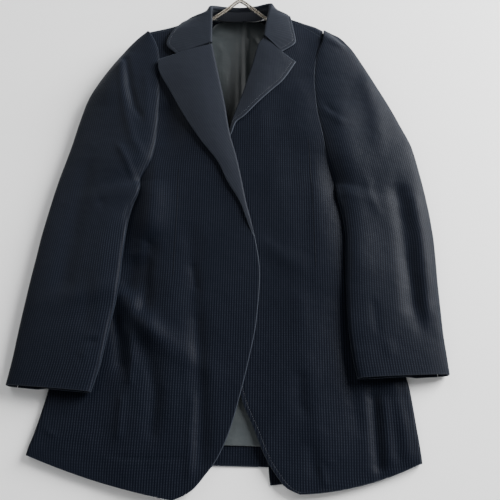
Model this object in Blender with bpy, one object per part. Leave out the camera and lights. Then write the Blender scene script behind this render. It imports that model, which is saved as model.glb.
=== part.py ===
"""Tailored jacket laid on its back on the floor, with a double-wire hanger inside its shoulders.

Sizes are millimetres and the objects are made in metres. X runs across the jacket, Y up the body
towards the collar, Z up off the floor. Right and left are the wearer's: the wearer's right half is
at negative X and its front lies over the left one.
"""
import math

import bpy
import numpy as np

MM = 0.001

# Cloth build-up
CLOTH = 2.2            # outer cloth with its interlining
TURNED = 2.6           # lapel and collar leaf, two cloths pressed together
LINING = 1.2
GAP = 0.4              # clearance between pieces at seams and between layers
FOLD = 1.7             # middle radius of the turn at the roll line

# Sides of the body
SIDE_EXTENT = 10.0     # how far each front reaches under the body before the side seam
SIDE_SETBACK = 4.0     # how far in from the side line the height of the fold is read
SIDE_RESERVE = 16.0    # width that the side columns keep where a front stops at the armhole
SIDE_COLUMNS = 6
LAPEL_TUCK = 0.9       # clearance of a front's edge beyond the turn of its lapel

# Mesh density
ROW_STEP = 75.0
TOP_COLUMNS = 9

# Centre of the bounding box in the jacket's own drafting frame
CENTRE_X = -0.345
CENTRE_Y = -262.28

# Height of the fronts' middle surface down the body: y, height
CROWN = [
    (70, 41.0), (20, 41.0), (-12, 40.0), (-49, 37.5), (-89, 34.5), (-120, 32.5), (-168, 29.0),
    (-210, 26.0), (-243, 24.0), (-283, 21.0), (-331, 18.4), (-368, 16.5), (-404, 15.0),
    (-450, 13.5), (-550, 11.5), (-680, 9.0),
]
# Fall of the chest from the roll line to the armhole: y, fall
CHEST_FALL = [(70, 4.0), (-100, 4.0), (-330, 0.0), (-680, 0.0)]
CHEST_FROM = 35.0
CHEST_WIDTH = 85.0
# Height of the fronts under the sleeves and at the side fold: y, height
SIDE_HEIGHT = [(70, 12.0), (-240, 10.0), (-400, 9.0), (-550, 8.2), (-680, 7.6)]
FALL_INNER = 112.0
FALL_OUTER = 160.0
FALL_TOP = -170.0
FALL_LENGTH = 80.0
# Drop of the under-front beneath the over-front: over the whole chest, then beside the overlap
UNDER_DROP = 1.2
UNDER_DROP_FROM = 100.0
UNDER_DROP_WIDTH = 45.0
OVERLAP_DROP = 2.6
OVERLAP_MARGIN = 4.0
OVERLAP_WIDTH = 56.0

# Large folds of the fronts: start x, y, end x, y, half width, height
FOLDS_RIGHT = [
    (-148, -414, -104, -466, 14.0, 3.2),
    (-104, -466, -39, -511, 16.0, 3.0),
    (-113, -352, -116, -436, 10.0, -4.5),
    (-58, -336, -39, -514, 12.0, -1.8),
    (-39, -514, -33, -604, 12.0, -1.4),
    (-82, -400, -72, -560, 14.0, 1.4),
]
FOLDS_LEFT = [
    (41, -343, 93, -372, 13.0, 1.6),
    (187, -533, 200, -617, 12.0, -1.2),
    (212, -540, 222, -612, 9.0, 2.0),
    (95, -430, 108, -590, 15.0, 1.4),
]

# Front over, wearer's right: inner x, y, outer x, y, hem bow, side wrap, shoulder drop
FRONT_RIGHT = [
    (-52, 48, -141, 16, 3.2, 0, 4.0),
    (-53, 30, -131, -4, 1, 0, 1.5),
    (-51, 10, -123, -28, 0, 0, 0.0),
    (-43.6, -13, -119.6, -60, 0, 0, 0.0),
    (-34.2, -47.5, -118, -100, 0, 0, 0.0),
    (-28.2, -81, -117.5, -132, 0, 0, 0.0),
    (-20, -120, -117.5, -162, 0, 0, 0.0),
    (-11.2, -168.5, -119.5, -198, 0, 0, 0.0),
    (0.4, -211, -127, -222, 0, 0, 0.0),
    (7.5, -243, -139, -240, 0, 0, 0.0),
    (12.5, -263, -165, -253, 0, 0, 0.0),
    (17.2, -285, -203, -261, 0, 0, 0.0),
    (18.9, -291, -205, -265, 0, 0.5, 0.0),
    (20.6, -297, -206, -269, 0, 1, 0.0),
    (31.5, -331, -202, -305, 0, 1, 0.0),
    (39.1, -387, -200, -360, 0, 1, 0.0),
    (35.5, -448.4, -209, -430, 0, 1, 0.0),
    (26, -503.8, -219, -490, 0, 1, 0.0),
    (16.8, -544.6, -228, -545, 0, 1, 0.0),
    (4.1, -591.7, -236.5, -590, 1, 1, 0.0),
    (-10.4, -625.7, -241, -608, 3, 1, 0.0),
    (-24.5, -645, -243, -615, 5, 1, 0.0),
    (-38, -661, -244, -620, 7, 1, 0.0),
    (-50.4, -668.8, -244.4, -622.5, 6.5, 1, 0.0),
    (-62, -673.5, -244.6, -624.5, 5, 1, 0.0),
]
# Front under, wearer's left
FRONT_LEFT = [
    (54, 51, 134, 8, -9.5, 0, 4.0),
    (56, 31, 127, -12, -4, 0, 1.5),
    (51, 13, 120.5, -44, 0, 0, 0.0),
    (43.6, 2, 118.4, -70, 0, 0, 0.0),
    (30, -28, 119.5, -98, 0, 0, 0.0),
    (21.5, -70, 122, -128, 0, 0, 0.0),
    (10.6, -105.5, 127, -155, 0, 0, 0.0),
    (-6.4, -157, 132, -185, 0, 0, 0.0),
    (-14, -185, 136, -209, 0, 0, 0.0),
    (-18, -210, 147, -236, 0, 0, 0.0),
    (-20, -230, 172, -251, 0, 0, 0.0),
    (-20.5, -250, 203, -261, 0, 0, 0.0),
    (-20.5, -256, 205, -265, 0, 0.5, 0.0),
    (-20.5, -262, 206, -269, 0, 1, 0.0),
    (-20, -300, 202, -305, 0, 1, 0.0),
    (-15, -360, 200, -360, 0, 1, 0.0),
    (-6, -430, 209, -430, 0, 1, 0.0),
    (4, -490, 219, -490, 0, 1, 0.0),
    (17.1, -551, 230.5, -540, 0, 1, 0.0),
    (33.2, -587.5, 235, -585, 1, 1, 0.0),
    (47.7, -621.4, 237, -606, 2, 1, 0.0),
    (60, -641, 237.6, -614, 4, 1, 0.0),
    (74, -657, 238, -620, 5, 1, 0.0),
    (89.9, -664.2, 238.2, -626, 8, 1, 0.0),
]

# Lapels: roll x, y, outer x, y, bow of the row, lift of the middle, lift of the edge
LAPEL_RIGHT = [
    (-40.9, -13.2, -121.4, -42.6, 0, 2.0, 4.6),
    (-36.7, -32, -120.8, -54.4, 0, 2.4, 4.6),
    (-26, -80.6, -98.3, -100.3, 0, 2.8, 2.2),
    (-17.8, -119.3, -79.2, -135.8, 0, 2.6, 2.0),
    (-9, -168.1, -50.5, -181.1, 0, 1.8, 1.6),
    (2.6, -210.4, -23.1, -218, 0, 0.9, 1.2),
    (9.7, -242.5, -9.4, -247.2, 0, 0.5, 0.9),
    (18.2, -282.8, 10.4, -281.3, 0, 0.1, 0.5),
    (23.4, -302, 18.0, -302, 0, 0.0, 0.4),
]
LAPEL_LEFT = [
    (41.2, 1.6, 90.3, -42.5, 3.5, 1.8, 1.6),
    (33, -10, 85, -52, 2.0, 2.0, 1.8),
    (25.8, -41, 71.1, -75.4, 0, 2.0, 1.8),
    (17.1, -74.4, 50.8, -97.3, 0, 1.8, 1.6),
    (8.3, -105, 32.2, -117, 0, 1.2, 1.2),
    (0.1, -128.8, 12.3, -138.8, 0, 0.4, 0.8),
    (-5.2, -146, 0.4, -149, 0, 0.0, 0.5),
]

# Collar round the neck: roll x, y, z, leaf edge x, y, z, stand seam x, y, z, turn in degrees
COLLAR = [
    (-41.0, -11.0, 46.4, -94.0, -32.4, 42.0, -47.0, -12.0, 43.0, 180),
    (-41.3, 3.0, 47.0, -111.2, -9.5, 41.4, -50.0, 2.0, 43.2, 180),
    (-41.8, 20.0, 47.4, -104.6, 13.0, 40.8, -51.5, 18.0, 43.2, 180),
    (-42.3, 36.0, 47.0, -94.7, 29.4, 38.0, -52.2, 34.0, 42.2, 170),
    (-42.6, 43.0, 47.0, -89.0, 38.5, 34.8, -52.0, 42.0, 40.6, 160),
    (-43.0, 50.0, 46.8, -80.0, 48.0, 27.8, -51.8, 50.5, 37.4, 150),
    (-42.8, 60.0, 45.6, -64.0, 66.0, 14.0, -48.5, 61.5, 25.0, 120),
    (-36.0, 65.0, 39.5, -45.0, 84.0, 6.0, -38.0, 67.0, 13.0, 100),
    (-22.0, 68.0, 33.6, -24.0, 92.0, 2.6, -22.0, 69.2, 5.8, 90),
    (1.0, 69.4, 30.6, 1.0, 94.5, 1.9, 1.0, 70.6, 4.4, 90),
    (26.0, 69.6, 33.6, 28.0, 93.0, 2.6, 26.0, 70.0, 5.8, 90),
    (41.0, 69.0, 40.0, 50.0, 87.0, 6.0, 42.0, 69.0, 13.0, 100),
    (49.0, 66.5, 45.6, 70.0, 74.0, 14.0, 51.5, 63.5, 25.0, 120),
    (48.5, 55.0, 46.4, 81.0, 56.0, 28.0, 56.0, 52.0, 36.8, 150),
    (47.0, 47.0, 46.2, 82.6, 48.6, 37.4, 57.0, 44.0, 39.2, 160),
    (46.0, 40.0, 46.0, 84.0, 40.0, 39.4, 57.0, 36.0, 40.8, 170),
    (43.5, 24.0, 46.4, 87.0, 21.0, 40.0, 54.0, 20.0, 42.2, 180),
    (42.0, 12.0, 46.0, 90.4, -2.3, 39.8, 50.0, 9.0, 42.2, 180),
    (41.2, 3.8, 45.6, 68.0, -24.6, 40.0, 47.0, 3.0, 42.3, 180),
]

COLLAR_STEP = 30.0
COLLAR_HANG = 32.0     # below this edge height the leaf hangs over the back instead of lying flat
COLLAR_STEEP = 18.0    # and this much lower still it drops straight from the roll
COLLAR_OVER = 55.0     # degrees that the turn goes on over the top there
COLLAR_ROUND = 0.8     # and how much wider it turns
STAND_GAP = 1.5
TURN_COLUMNS = 4
LEAF_COLUMNS = 8

# Upper edge of the back: x, floor y, floor handle, seam y, seam handle, seam z, seam drop
BACK_TOP = [
    (-141, 5, 26, 16, 10, 32.8, 0),
    (-120, 13, 28, 22, 11, 33.8, 0),
    (-95, 21, 26, 29, 11, 34.6, 0),
    (-70, 30, 22, 39, 9, 35.4, 2),
    (-54, 40, 16, 48.5, 6, 34.0, 8),
    (-48.5, 47, 12, 58.0, 4, 23.0, 12),
    (-38, 54, 8, 65.5, 3, 9.6, 6),
    (-22, 60, 5, 70.0, 0, 2.2, 1),
    (1, 62, 4, 71.4, -2, 1.1, 0),
    (26, 62, 4, 71.0, 0, 2.2, 1),
    (42, 56, 8, 68.0, 3, 9.6, 6),
    (51.5, 49, 12, 60.0, 4, 23.0, 12),
    (58, 40, 16, 50.0, 6, 34.0, 8),
    (75, 32, 26, 48.0, 8, 34.6, 2),
    (85, 28, 28, 44.5, 10, 34.4, 0),
    (106, 20, 28, 31.0, 19, 34.0, 0),
    (120, 13, 30, 20.5, 30, 33.4, 0),
    (134, 6, 32, 8.0, 36, 33.0, 0),
]
SEAM_FROM = 54.0
SEAM_BLEND = 12.0
BACK_MIDDLE = 1.0
BACK_NECK_Y = 62.0
BACK_TIP_RIGHT = -141.0
BACK_TIP_LEFT = 134.0
BACK_SHOULDER_ROWS = 7
BACK_STATIONS = [-40, -95, -150, -205, -262, -270, -320, -380, -440, -500, -560, -620]
BACK_COLUMNS = [0.0, 0.14, 0.26, 0.33, 0.37, 0.41, 0.50, 0.66, 0.83, 1.0]

# Centre back seam: y, x. The back lies a little askew, so the seam runs over at the hem.
BACK_SEAM = [(71, 1.0), (-200, 10.0), (-400, 28.0), (-633, 53.0), (-660, 55.5)]
# Back armhole: y, distance from the middle
BACK_ARMHOLE = [(10, 140.0), (-40, 154.0), (-100, 168.0), (-170, 179.0), (-225, 187.0), (-263, 190.0)]
# Side fold of the body, outermost line: y, distance from the middle
SIDE_LINE = [
    (-261, 203.0), (-269, 206.0), (-305, 202.0), (-360, 200.0), (-430, 209.0), (-490, 219.0),
    (-545, 228.9), (-590, 235.9), (-626, 240.4),
]
SIDE_SEAM_INSET = 16.8
UNDERARM_SEAM_Y = -263.5
BACK_HEM_RIGHT = [(53, -633), (0, -632.6), (-120, -629), (-229.8, -620)]
BACK_HEM_LEFT = [(56, -654), (120, -646), (180, -633), (223.4, -622)]

# Sleeves: inner x, y, outer x, y, rise over the inner edge, top near the outer edge, outer edge
# height, closed round the underside (0 no, 1 yes)
SLEEVE_RIGHT = [
    (-140.5, 14, -144.6, 20.8, 2.4, 31.0, 17.0, 0),
    (-135, 6, -157.6, 10.6, 3.8, 31.5, 16.5, 0),
    (-129.5, -5, -172.5, -6, 4.2, 30.0, 15.0, 0),
    (-122, -28, -192.4, -35.5, 4.4, 28.0, 13.5, 0),
    (-118.6, -60, -213.6, -70, 4.4, 25.5, 12.5, 0),
    (-117.2, -95, -227.9, -103, 4.4, 24.0, 12.0, 0),
    (-116.6, -140, -236.8, -147, 4.4, 23.0, 11.5, 0),
    (-116.8, -175, -243, -186, 4.2, 22.5, 11.0, 0),
    (-120.2, -206, -248.4, -214, 4.2, 22.0, 10.5, 0),
    (-129, -227, -253, -237, 4.6, 21.5, 10.5, 0),
    (-135, -243, -257.3, -262, 5.2, 21.0, 10.0, 0),
    (-134.5, -255, -260.5, -285, 6.0, 21.0, 10.0, 0.5),
    (-137, -267, -262.8, -302, 6.2, 20.5, 10.0, 1),
    (-143, -284, -266.7, -334, 6.4, 20.5, 9.5, 1),
    (-148, -312, -268.9, -362, 6.4, 20.0, 9.5, 1),
    (-150.8, -360, -271.8, -395, 6.2, 20.0, 9.0, 1),
    (-151.5, -410, -274.5, -432, 6.2, 19.5, 9.0, 1),
    (-158.8, -465.7, -276.9, -470, 6.0, 19.0, 8.5, 1),
    (-163.5, -505, -279, -508, 5.8, 18.0, 8.0, 1),
    (-173, -548.5, -282.3, -540, 5.4, 16.0, 8.0, 1),
]
SLEEVE_LEFT = [
    (134.0, 4, 135.6, 30, 2.4, 31.5, 17.0, 0),
    (129, -9, 159.4, 18, 3.8, 32.0, 16.5, 0),
    (124.5, -21, 175.8, -0.5, 4.2, 31.0, 15.5, 0),
    (119.6, -46, 196.6, -37, 4.4, 28.0, 14.0, 0),
    (117.4, -76, 214, -72, 4.4, 26.0, 12.5, 0),
    (119, -107, 231.8, -109, 4.4, 24.0, 12.0, 0),
    (122.6, -137, 246.2, -144, 4.4, 23.0, 11.5, 0),
    (129.2, -171, 260.4, -182, 4.2, 22.5, 11.0, 0),
    (134.2, -203, 267.1, -219, 4.2, 22.0, 10.5, 0),
    (140, -226, 271.7, -251, 4.6, 21.5, 10.5, 0),
    (144, -242, 274.9, -278, 5.2, 21.0, 10.0, 0),
    (146, -254, 276.3, -293, 6.0, 21.0, 10.0, 0.5),
    (148.5, -267, 277.3, -308, 6.2, 20.5, 10.0, 1),
    (156, -303, 278.6, -335, 6.4, 20.5, 9.5, 1),
    (158, -330, 278.4, -365, 6.4, 20.0, 9.5, 1),
    (156.6, -365, 277.9, -395, 6.2, 20.0, 9.0, 1),
    (155.8, -407, 278, -425, 6.2, 19.5, 9.0, 1),
    (156.4, -455, 278.3, -462, 6.0, 19.0, 8.5, 1),
    (159.4, -493, 280, -492, 5.8, 18.0, 8.0, 1),
    (165, -526, 281.5, -518, 5.4, 16.0, 8.0, 1),
]
SLEEVE_BULGE = 2.0
SLEEVE_CLEARANCE = 1.4
SLEEVE_SEAM_IN = 0.10
SLEEVE_SEAM_OUT = 0.90
SLEEVE_SEAM_COLUMNS = [(SLEEVE_SEAM_IN, 0.0), (0.05, 0.0004), (0.015, 0.0015), (0.0, 0.004)]
SLEEVE_TOP_COLUMNS = [0.012, 0.045, 0.12, 0.26, 0.42, 0.60, 0.78, 0.90, 0.965, 1.0]
SLEEVE_UNDER_COLUMNS = [0.985, 0.95, SLEEVE_SEAM_OUT]
SLEEVE_TOP_SHAPE = 4.0     # how square the upper and lower edges of the section are
SLEEVE_UNDER_SHAPE = 6.0
UNDERSIDE_FROM = 0.42      # limits of the underside's start at the back armhole
UNDERSIDE_TO = 0.80
ARMHOLE_CLEARANCE = 0.8
# Where a sleeve steps off the side of the body, and where it clears the foot of the armhole
STEP_OUT = 19.0
STEP_WIDTH = 21.0
STEP_COLUMNS = [-4.0, 4.0, 10.0, 16.0, 23.0]
ARMHOLE_FOOT = (139.0, -240.0)
ARMHOLE_SLOPE = 21.0 / 64.0
UNDERARM_RAMP = 14.0
UNDERARM_EARLY = 11.0
UNDERARM_LIFT = 2.6
UNDERARM_Y = -266.0

# Back lining inside the body: y, left x, right x
LINING_SIDES = [
    (10, -128, 124), (-40, -146, 146), (-100, -160, 160), (-262, -180, 180), (-360, -176, 178),
    (-545, -202, 206), (-610, -210, 214),
]
LINING_HALF = [0.0, 0.045, 0.12, 0.28, 0.37, 0.46, 0.70, 1.0]
LINING_REACH = [0.66, 0.50, 0.33, 0.16]    # how far up the back's turn each upper row lies
LINING_STATIONS = [10, -30, -75, -120, -190, -270, -350, -430, -520, -600]
LINING_WIDTH_RIGHT = 129.0
LINING_WIDTH_LEFT = 123.0
LINING_DROP = 8.0
LINING_NECK = 34.0
LINING_NECK_BLEND = 16.0
LINING_HEM_RIGHT = -606.0
LINING_HEM_LEFT = -612.0
PLEAT_WIDTH = 7.0
PLEAT_HEIGHT = 2.4
PLEAT_END = -300.0
PLEAT_FADE = 200.0

# Hanger: bent wires, path through the neck and into the shoulders
WIRE_RADIUS = 1.4
WIRE_SPACING = 3.3
HANGER_RISE = 0.31
HANGER_BASE = 14.75
WIRE_PATH = [
    (-136, 4), (-128, 12), (-100, 27), (-72, 37.5), (-48, 49.5), (-20, 67), (-4, 79.5), (1, 82),
    (6, 80), (22, 69), (48, 51), (72, 38.5), (98, 26.5), (122, 14), (130, 4),
]
WIRE_POINTS = 28
WIRE_SIDES = 7
HOOK_START = (1.0, 82.8)
HOOK_RADIUS = 19.0
HOOK_SHANK = 26.5
HOOK_WIRE = 1.7
HOOK_STEP = 15.0
HOOK_STEPS = 15

# Colours, linear
NAVY = (0.0105, 0.0115, 0.0165, 1.0)
FACING = (0.0150, 0.0160, 0.0220, 1.0)
LINING_GREEN = (0.045, 0.052, 0.046, 1.0)
WIRE_METAL = (0.62, 0.55, 0.46, 1.0)


def monotone(xs, ys, x):
    """Monotone cubic through the points (xs, ys) at x."""
    xs = np.asarray(xs, float)
    ys = np.asarray(ys, float)
    x = np.clip(np.asarray(x, float), xs[0], xs[-1])
    h = np.diff(xs)
    d = np.diff(ys) / h
    m = np.zeros_like(ys)
    m[0] = d[0]
    m[-1] = d[-1]
    for i in range(1, len(xs) - 1):
        if d[i - 1] * d[i] > 0:
            w1 = 2 * h[i] + h[i - 1]
            w2 = h[i] + 2 * h[i - 1]
            m[i] = (w1 + w2) / (w1 / d[i - 1] + w2 / d[i])
    k = np.clip(np.searchsorted(xs, x, side="right") - 1, 0, len(xs) - 2)
    t = (x - xs[k]) / h[k]
    a = (1 + 2 * t) * (1 - t) ** 2
    b = t * (1 - t) ** 2
    c = t * t * (3 - 2 * t)
    e = t * t * (t - 1)
    return a * ys[k] + b * h[k] * m[k] + c * ys[k + 1] + e * h[k] * m[k + 1]


def by_height(table, y):
    """Second column of a table whose first column is y, falling down the rows."""
    rows = sorted(table)
    return monotone([r[0] for r in rows], [r[1] for r in rows], y)


def smooth(t):
    t = np.clip(t, 0.0, 1.0)
    return t * t * (3 - 2 * t)


def table_rows(table, step, width=4):
    """Rows of a table with further rows between them, none more than a step apart."""
    data = np.array(table, float)
    move = np.sqrt((np.diff(data[:, :width], axis=0) ** 2).sum(axis=1))
    along = np.concatenate([[0.0], np.cumsum(move)])
    at = [0.0]
    for i, dist in enumerate(move):
        parts = max(1, math.ceil(dist / step))
        at.extend(along[i] + dist * (k + 1) / parts for k in range(parts))
    at = np.array(at)
    return np.stack([monotone(along, data[:, c], at) for c in range(data.shape[1])], axis=1)


def fold_height(folds, x, y):
    """Sum of the named folds at a point, soft across and fading at both ends."""
    total = 0.0
    for x0, y0, x1, y1, half, height in folds:
        length = math.hypot(x1 - x0, y1 - y0)
        ux = (x1 - x0) / length
        uy = (y1 - y0) / length
        along = (x - x0) * ux + (y - y0) * uy
        across = -(x - x0) * uy + (y - y0) * ux
        beyond = max(0.0, -along, along - length)
        total += height * math.exp(-(across / half) ** 2 - (beyond / (1.5 * half)) ** 2)
    return total


def crown(x, y):
    """Height of a front's middle surface before the folds."""
    height = float(by_height(CROWN, y))
    outward = float(smooth((abs(x) - CHEST_FROM) / CHEST_WIDTH))
    height -= float(by_height(CHEST_FALL, y)) * outward
    towards_side = float(smooth((abs(x) - FALL_INNER) / (FALL_OUTER - FALL_INNER)))
    towards_side *= float(smooth((FALL_TOP - y) / FALL_LENGTH))
    return height + (float(by_height(SIDE_HEIGHT, y)) - height) * towards_side


def edge_right(y):
    """X of the over-front's inner boundary."""
    rows = sorted((r[1], r[0]) for r in FRONT_RIGHT)
    return float(monotone([r[0] for r in rows], [r[1] for r in rows], y))


def front_right_z(x, y):
    return crown(x, y) + fold_height(FOLDS_RIGHT, x, y)


def front_left_z(x, y):
    under = UNDER_DROP * (1.0 - float(smooth((x - UNDER_DROP_FROM) / UNDER_DROP_WIDTH)))
    covered = float(smooth(1.0 - (x - edge_right(y) - OVERLAP_MARGIN) / OVERLAP_WIDTH))
    under += OVERLAP_DROP * covered
    return crown(x, y) + fold_height(FOLDS_LEFT, x, y) - under


def roll_x(table, y):
    """X of a lapel's roll line at a height up the body."""
    rows = sorted((r[1], r[0]) for r in table)
    return float(monotone([r[0] for r in rows], [r[1] for r in rows], y))


def front_z(x, y):
    return front_right_z(x, y) if x < 0 else front_left_z(x, y)


def make_object(name, verts, faces, material):
    mesh = bpy.data.meshes.new(name)
    mesh.from_pydata([tuple(v) for v in verts], [], faces)
    mesh.validate()
    mesh.materials.append(material)
    for polygon in mesh.polygons:
        polygon.use_smooth = True
    obj = bpy.data.objects.new(name, mesh)
    bpy.context.scene.collection.objects.link(obj)
    return obj


def volume_of(verts, faces):
    total = 0.0
    for face in faces:
        a = verts[face[0]]
        for i in range(1, len(face) - 1):
            total += np.dot(a, np.cross(verts[face[i]], verts[face[i + 1]])) / 6.0
    return total


def placed(points):
    """Drafting millimetres to the part's metres."""
    points = np.asarray(points, float).copy()
    points[..., 0] -= CENTRE_X
    points[..., 1] -= CENTRE_Y
    return points * MM


def grid_normals(grid):
    """Unit normals of a grid of points, upward when rows run down and columns run outward."""
    du = np.gradient(grid, axis=1)
    dv = np.gradient(grid, axis=0)
    normal = np.cross(dv, du)
    length = np.linalg.norm(normal, axis=2, keepdims=True)
    return normal / np.maximum(length, 1e-9)


def cloth(name, grid, thickness, material):
    """Closed thin solid whose middle surface is the grid."""
    grid = np.asarray(grid, float)
    normal = grid_normals(grid)
    rows, cols = grid.shape[:2]
    top = grid + normal * thickness / 2
    low = grid - normal * thickness / 2
    verts = placed(np.concatenate([top.reshape(-1, 3), low.reshape(-1, 3)]))
    half = rows * cols
    faces = []
    for i in range(rows - 1):
        for j in range(cols - 1):
            a = i * cols + j
            b = a + 1
            c = a + cols + 1
            d = a + cols
            faces.append((a, b, c, d))
            faces.append((half + d, half + c, half + b, half + a))
    rim = [j for j in range(cols)]
    rim += [i * cols + cols - 1 for i in range(1, rows)]
    rim += [(rows - 1) * cols + j for j in range(cols - 2, -1, -1)]
    rim += [i * cols for i in range(rows - 2, 0, -1)]
    for k, a in enumerate(rim):
        b = rim[(k + 1) % len(rim)]
        faces.append((b, a, half + a, half + b))
    if volume_of(verts, faces) < 0:
        faces = [tuple(reversed(f)) for f in faces]
    return make_object(name, verts, faces, material)


def front_grid(table, height, lapel):
    """Middle surface of a front: across the chest, round the side fold and under to its seam."""
    grid = []
    outward = -1.0 if table[0][2] < 0 else 1.0
    for ix, iy, ox, oy, bow, wrap, drop in table_rows(table, ROW_STEP):
        if lapel[-1][1] <= iy <= lapel[0][1]:
            ix = roll_x(lapel, iy) + outward * (FOLD + LAPEL_TUCK)
        inner = np.array([ix, iy])
        outer = np.array([ox, oy])
        span = np.linalg.norm(outer - inner)
        way = (outer - inner) / span

        def top_point(dist):
            f = dist / span
            p = inner + way * dist
            y = p[1] - bow * 4 * f * (1 - f)
            return np.array([p[0], y, height(p[0], y) - drop])

        low = CLOTH / 2
        radius = (top_point(span - SIDE_SETBACK * wrap)[2] - low) / 2
        top_length = span - radius * wrap
        wrap_length = wrap * (math.pi * radius + SIDE_EXTENT)
        shared = SIDE_RESERVE * (1 - wrap)
        end = top_point(top_length)
        row = [top_point((top_length - shared) * k / TOP_COLUMNS) for k in range(TOP_COLUMNS + 1)]
        for k in range(1, SIDE_COLUMNS + 1):
            dist = top_length - shared + (shared + wrap_length) * k / SIDE_COLUMNS
            if dist <= top_length:
                row.append(top_point(dist))
                continue
            turn = dist - top_length
            radius_here = (end[2] - low) / 2
            if turn < math.pi * radius_here:
                angle = turn / radius_here
                across = radius_here * math.sin(angle)
                z = low + radius_here * (1 + math.cos(angle))
            else:
                across = math.pi * radius_here - turn
                z = low
            row.append(np.array([end[0] + way[0] * across, end[1] + way[1] * across, z]))
        grid.append(row)
    return np.array(grid)


def lapel_grid(table, height):
    """Middle surface of a lapel: a turn at the roll line, then out over the front."""
    grid = []
    for rx, ry, ox, oy, bow, lift, edge_lift in table_rows(table, ROW_STEP):
        roll = np.array([roll_x(table, ry), ry])
        outer = np.array([ox, oy])
        span = np.linalg.norm(outer - roll)
        way = (outer - roll) / span
        centre = roll + way * FOLD
        base = height(centre[0], centre[1])
        row = []
        for k in range(TURN_COLUMNS):
            angle = math.pi * k / TURN_COLUMNS
            p = centre - way * FOLD * math.sin(angle)
            row.append(np.array([p[0], p[1], base + FOLD - FOLD * math.cos(angle)]))
        for k in range(LEAF_COLUMNS):
            f = k / (LEAF_COLUMNS - 1)
            p = centre + (outer - centre) * f
            y = p[1] - bow * math.sin(math.pi * f)
            z = height(p[0], y) + 2 * FOLD + lift * math.sin(math.pi * f) + edge_lift * f
            row.append(np.array([p[0], y, z]))
        grid.append(row)
    return np.array(grid)


def collar_grids(table):
    """Middle surfaces of the collar leaf and of the stand inside it."""
    leaf = []
    stand = []
    for rx, ry, rz, ox, oy, oz, sx, sy, sz, turn in table_rows(table, COLLAR_STEP, 9):
        roll = np.array([rx, ry, rz])
        outer = np.array([ox, oy, oz])
        seam = np.array([sx, sy, sz])
        flat = (outer - roll) * np.array([1, 1, 0])
        flat = flat / np.linalg.norm(flat)
        up = np.array([0, 0, 1.0])
        start_angle = math.radians(90.0 + turn)
        steep = float(smooth((COLLAR_HANG - oz) / COLLAR_STEEP))
        end_angle = math.radians(90.0 - COLLAR_OVER * steep)
        radius = FOLD + COLLAR_ROUND * steep
        centre = roll + (flat - up) * radius
        row = []
        for k in range(TURN_COLUMNS):
            angle = start_angle + (end_angle - start_angle) * k / TURN_COLUMNS
            row.append(centre + radius * (flat * math.cos(angle) + up * math.sin(angle)))
        crest = centre + radius * (flat * math.cos(end_angle) + up * math.sin(end_angle))
        fall = outer - crest
        for k in range(LEAF_COLUMNS):
            f = k / (LEAF_COLUMNS - 1)
            ease = 1 - (1 - f) ** 1.6 if oz < COLLAR_HANG else f
            ease += (f - ease) * steep
            drop = f * f * 0.55 + f * 0.45
            drop += (1 - (1 - f) ** 1.25 - drop) * steep
            z = crest[2] + fall[2] * drop
            plan = crest[:2] + fall[:2] * ease
            row.append(np.array([plan[0], plan[1], z]))
        leaf.append(row)
        begin = row[0]
        gap = (seam - begin) / np.linalg.norm(seam - begin)
        head = begin + gap * STAND_GAP
        stand.append([head + (seam - head) * k / 3 for k in range(4)])
    return np.array(leaf), np.array(stand)


def shoulder_row(x):
    """Y and height of a front's shoulder seam at x."""
    table = FRONT_RIGHT if x < 0 else FRONT_LEFT
    height = front_right_z if x < 0 else front_left_z
    ix, iy, ox, oy, bow, _, drop = table[0]
    f = (x - ix) / (ox - ix)
    y = iy + (oy - iy) * f - bow * 4 * f * (1 - f)
    return y, height(x, y) - drop


def back_top(x):
    """Handles of the back's upper edge at x: floor point, seam point and the two between."""
    data = np.array(BACK_TOP, float)
    floor_y, handle, seam_y, seam_handle, seam_z, drop = [
        float(monotone(data[:, 0], data[:, c], x)) for c in range(1, 7)
    ]
    if abs(x) > SEAM_FROM:
        y, z = shoulder_row(x)
        share = float(smooth((abs(x) - SEAM_FROM) / SEAM_BLEND))
        seam_y += (y + 4 * GAP - seam_y) * share
        seam_z += (z - seam_z) * share
    return [
        np.array([floor_y, CLOTH / 2]),
        np.array([floor_y + handle, CLOTH / 2]),
        np.array([seam_y + seam_handle, seam_z - drop]),
        np.array([seam_y, seam_z]),
    ]


def bezier(points, t):
    a, b, c, d = points
    s = 1 - t
    return s ** 3 * a + 3 * s * s * t * b + 3 * s * t * t * c + t ** 3 * d


def side_x(y):
    return float(by_height(SIDE_LINE, y))


def back_outer(y):
    """Distance of the back's outer boundary from the middle."""
    if y > UNDERARM_SEAM_Y:
        return float(by_height(BACK_ARMHOLE, y))
    return side_x(y) - SIDE_SEAM_INSET


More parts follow.
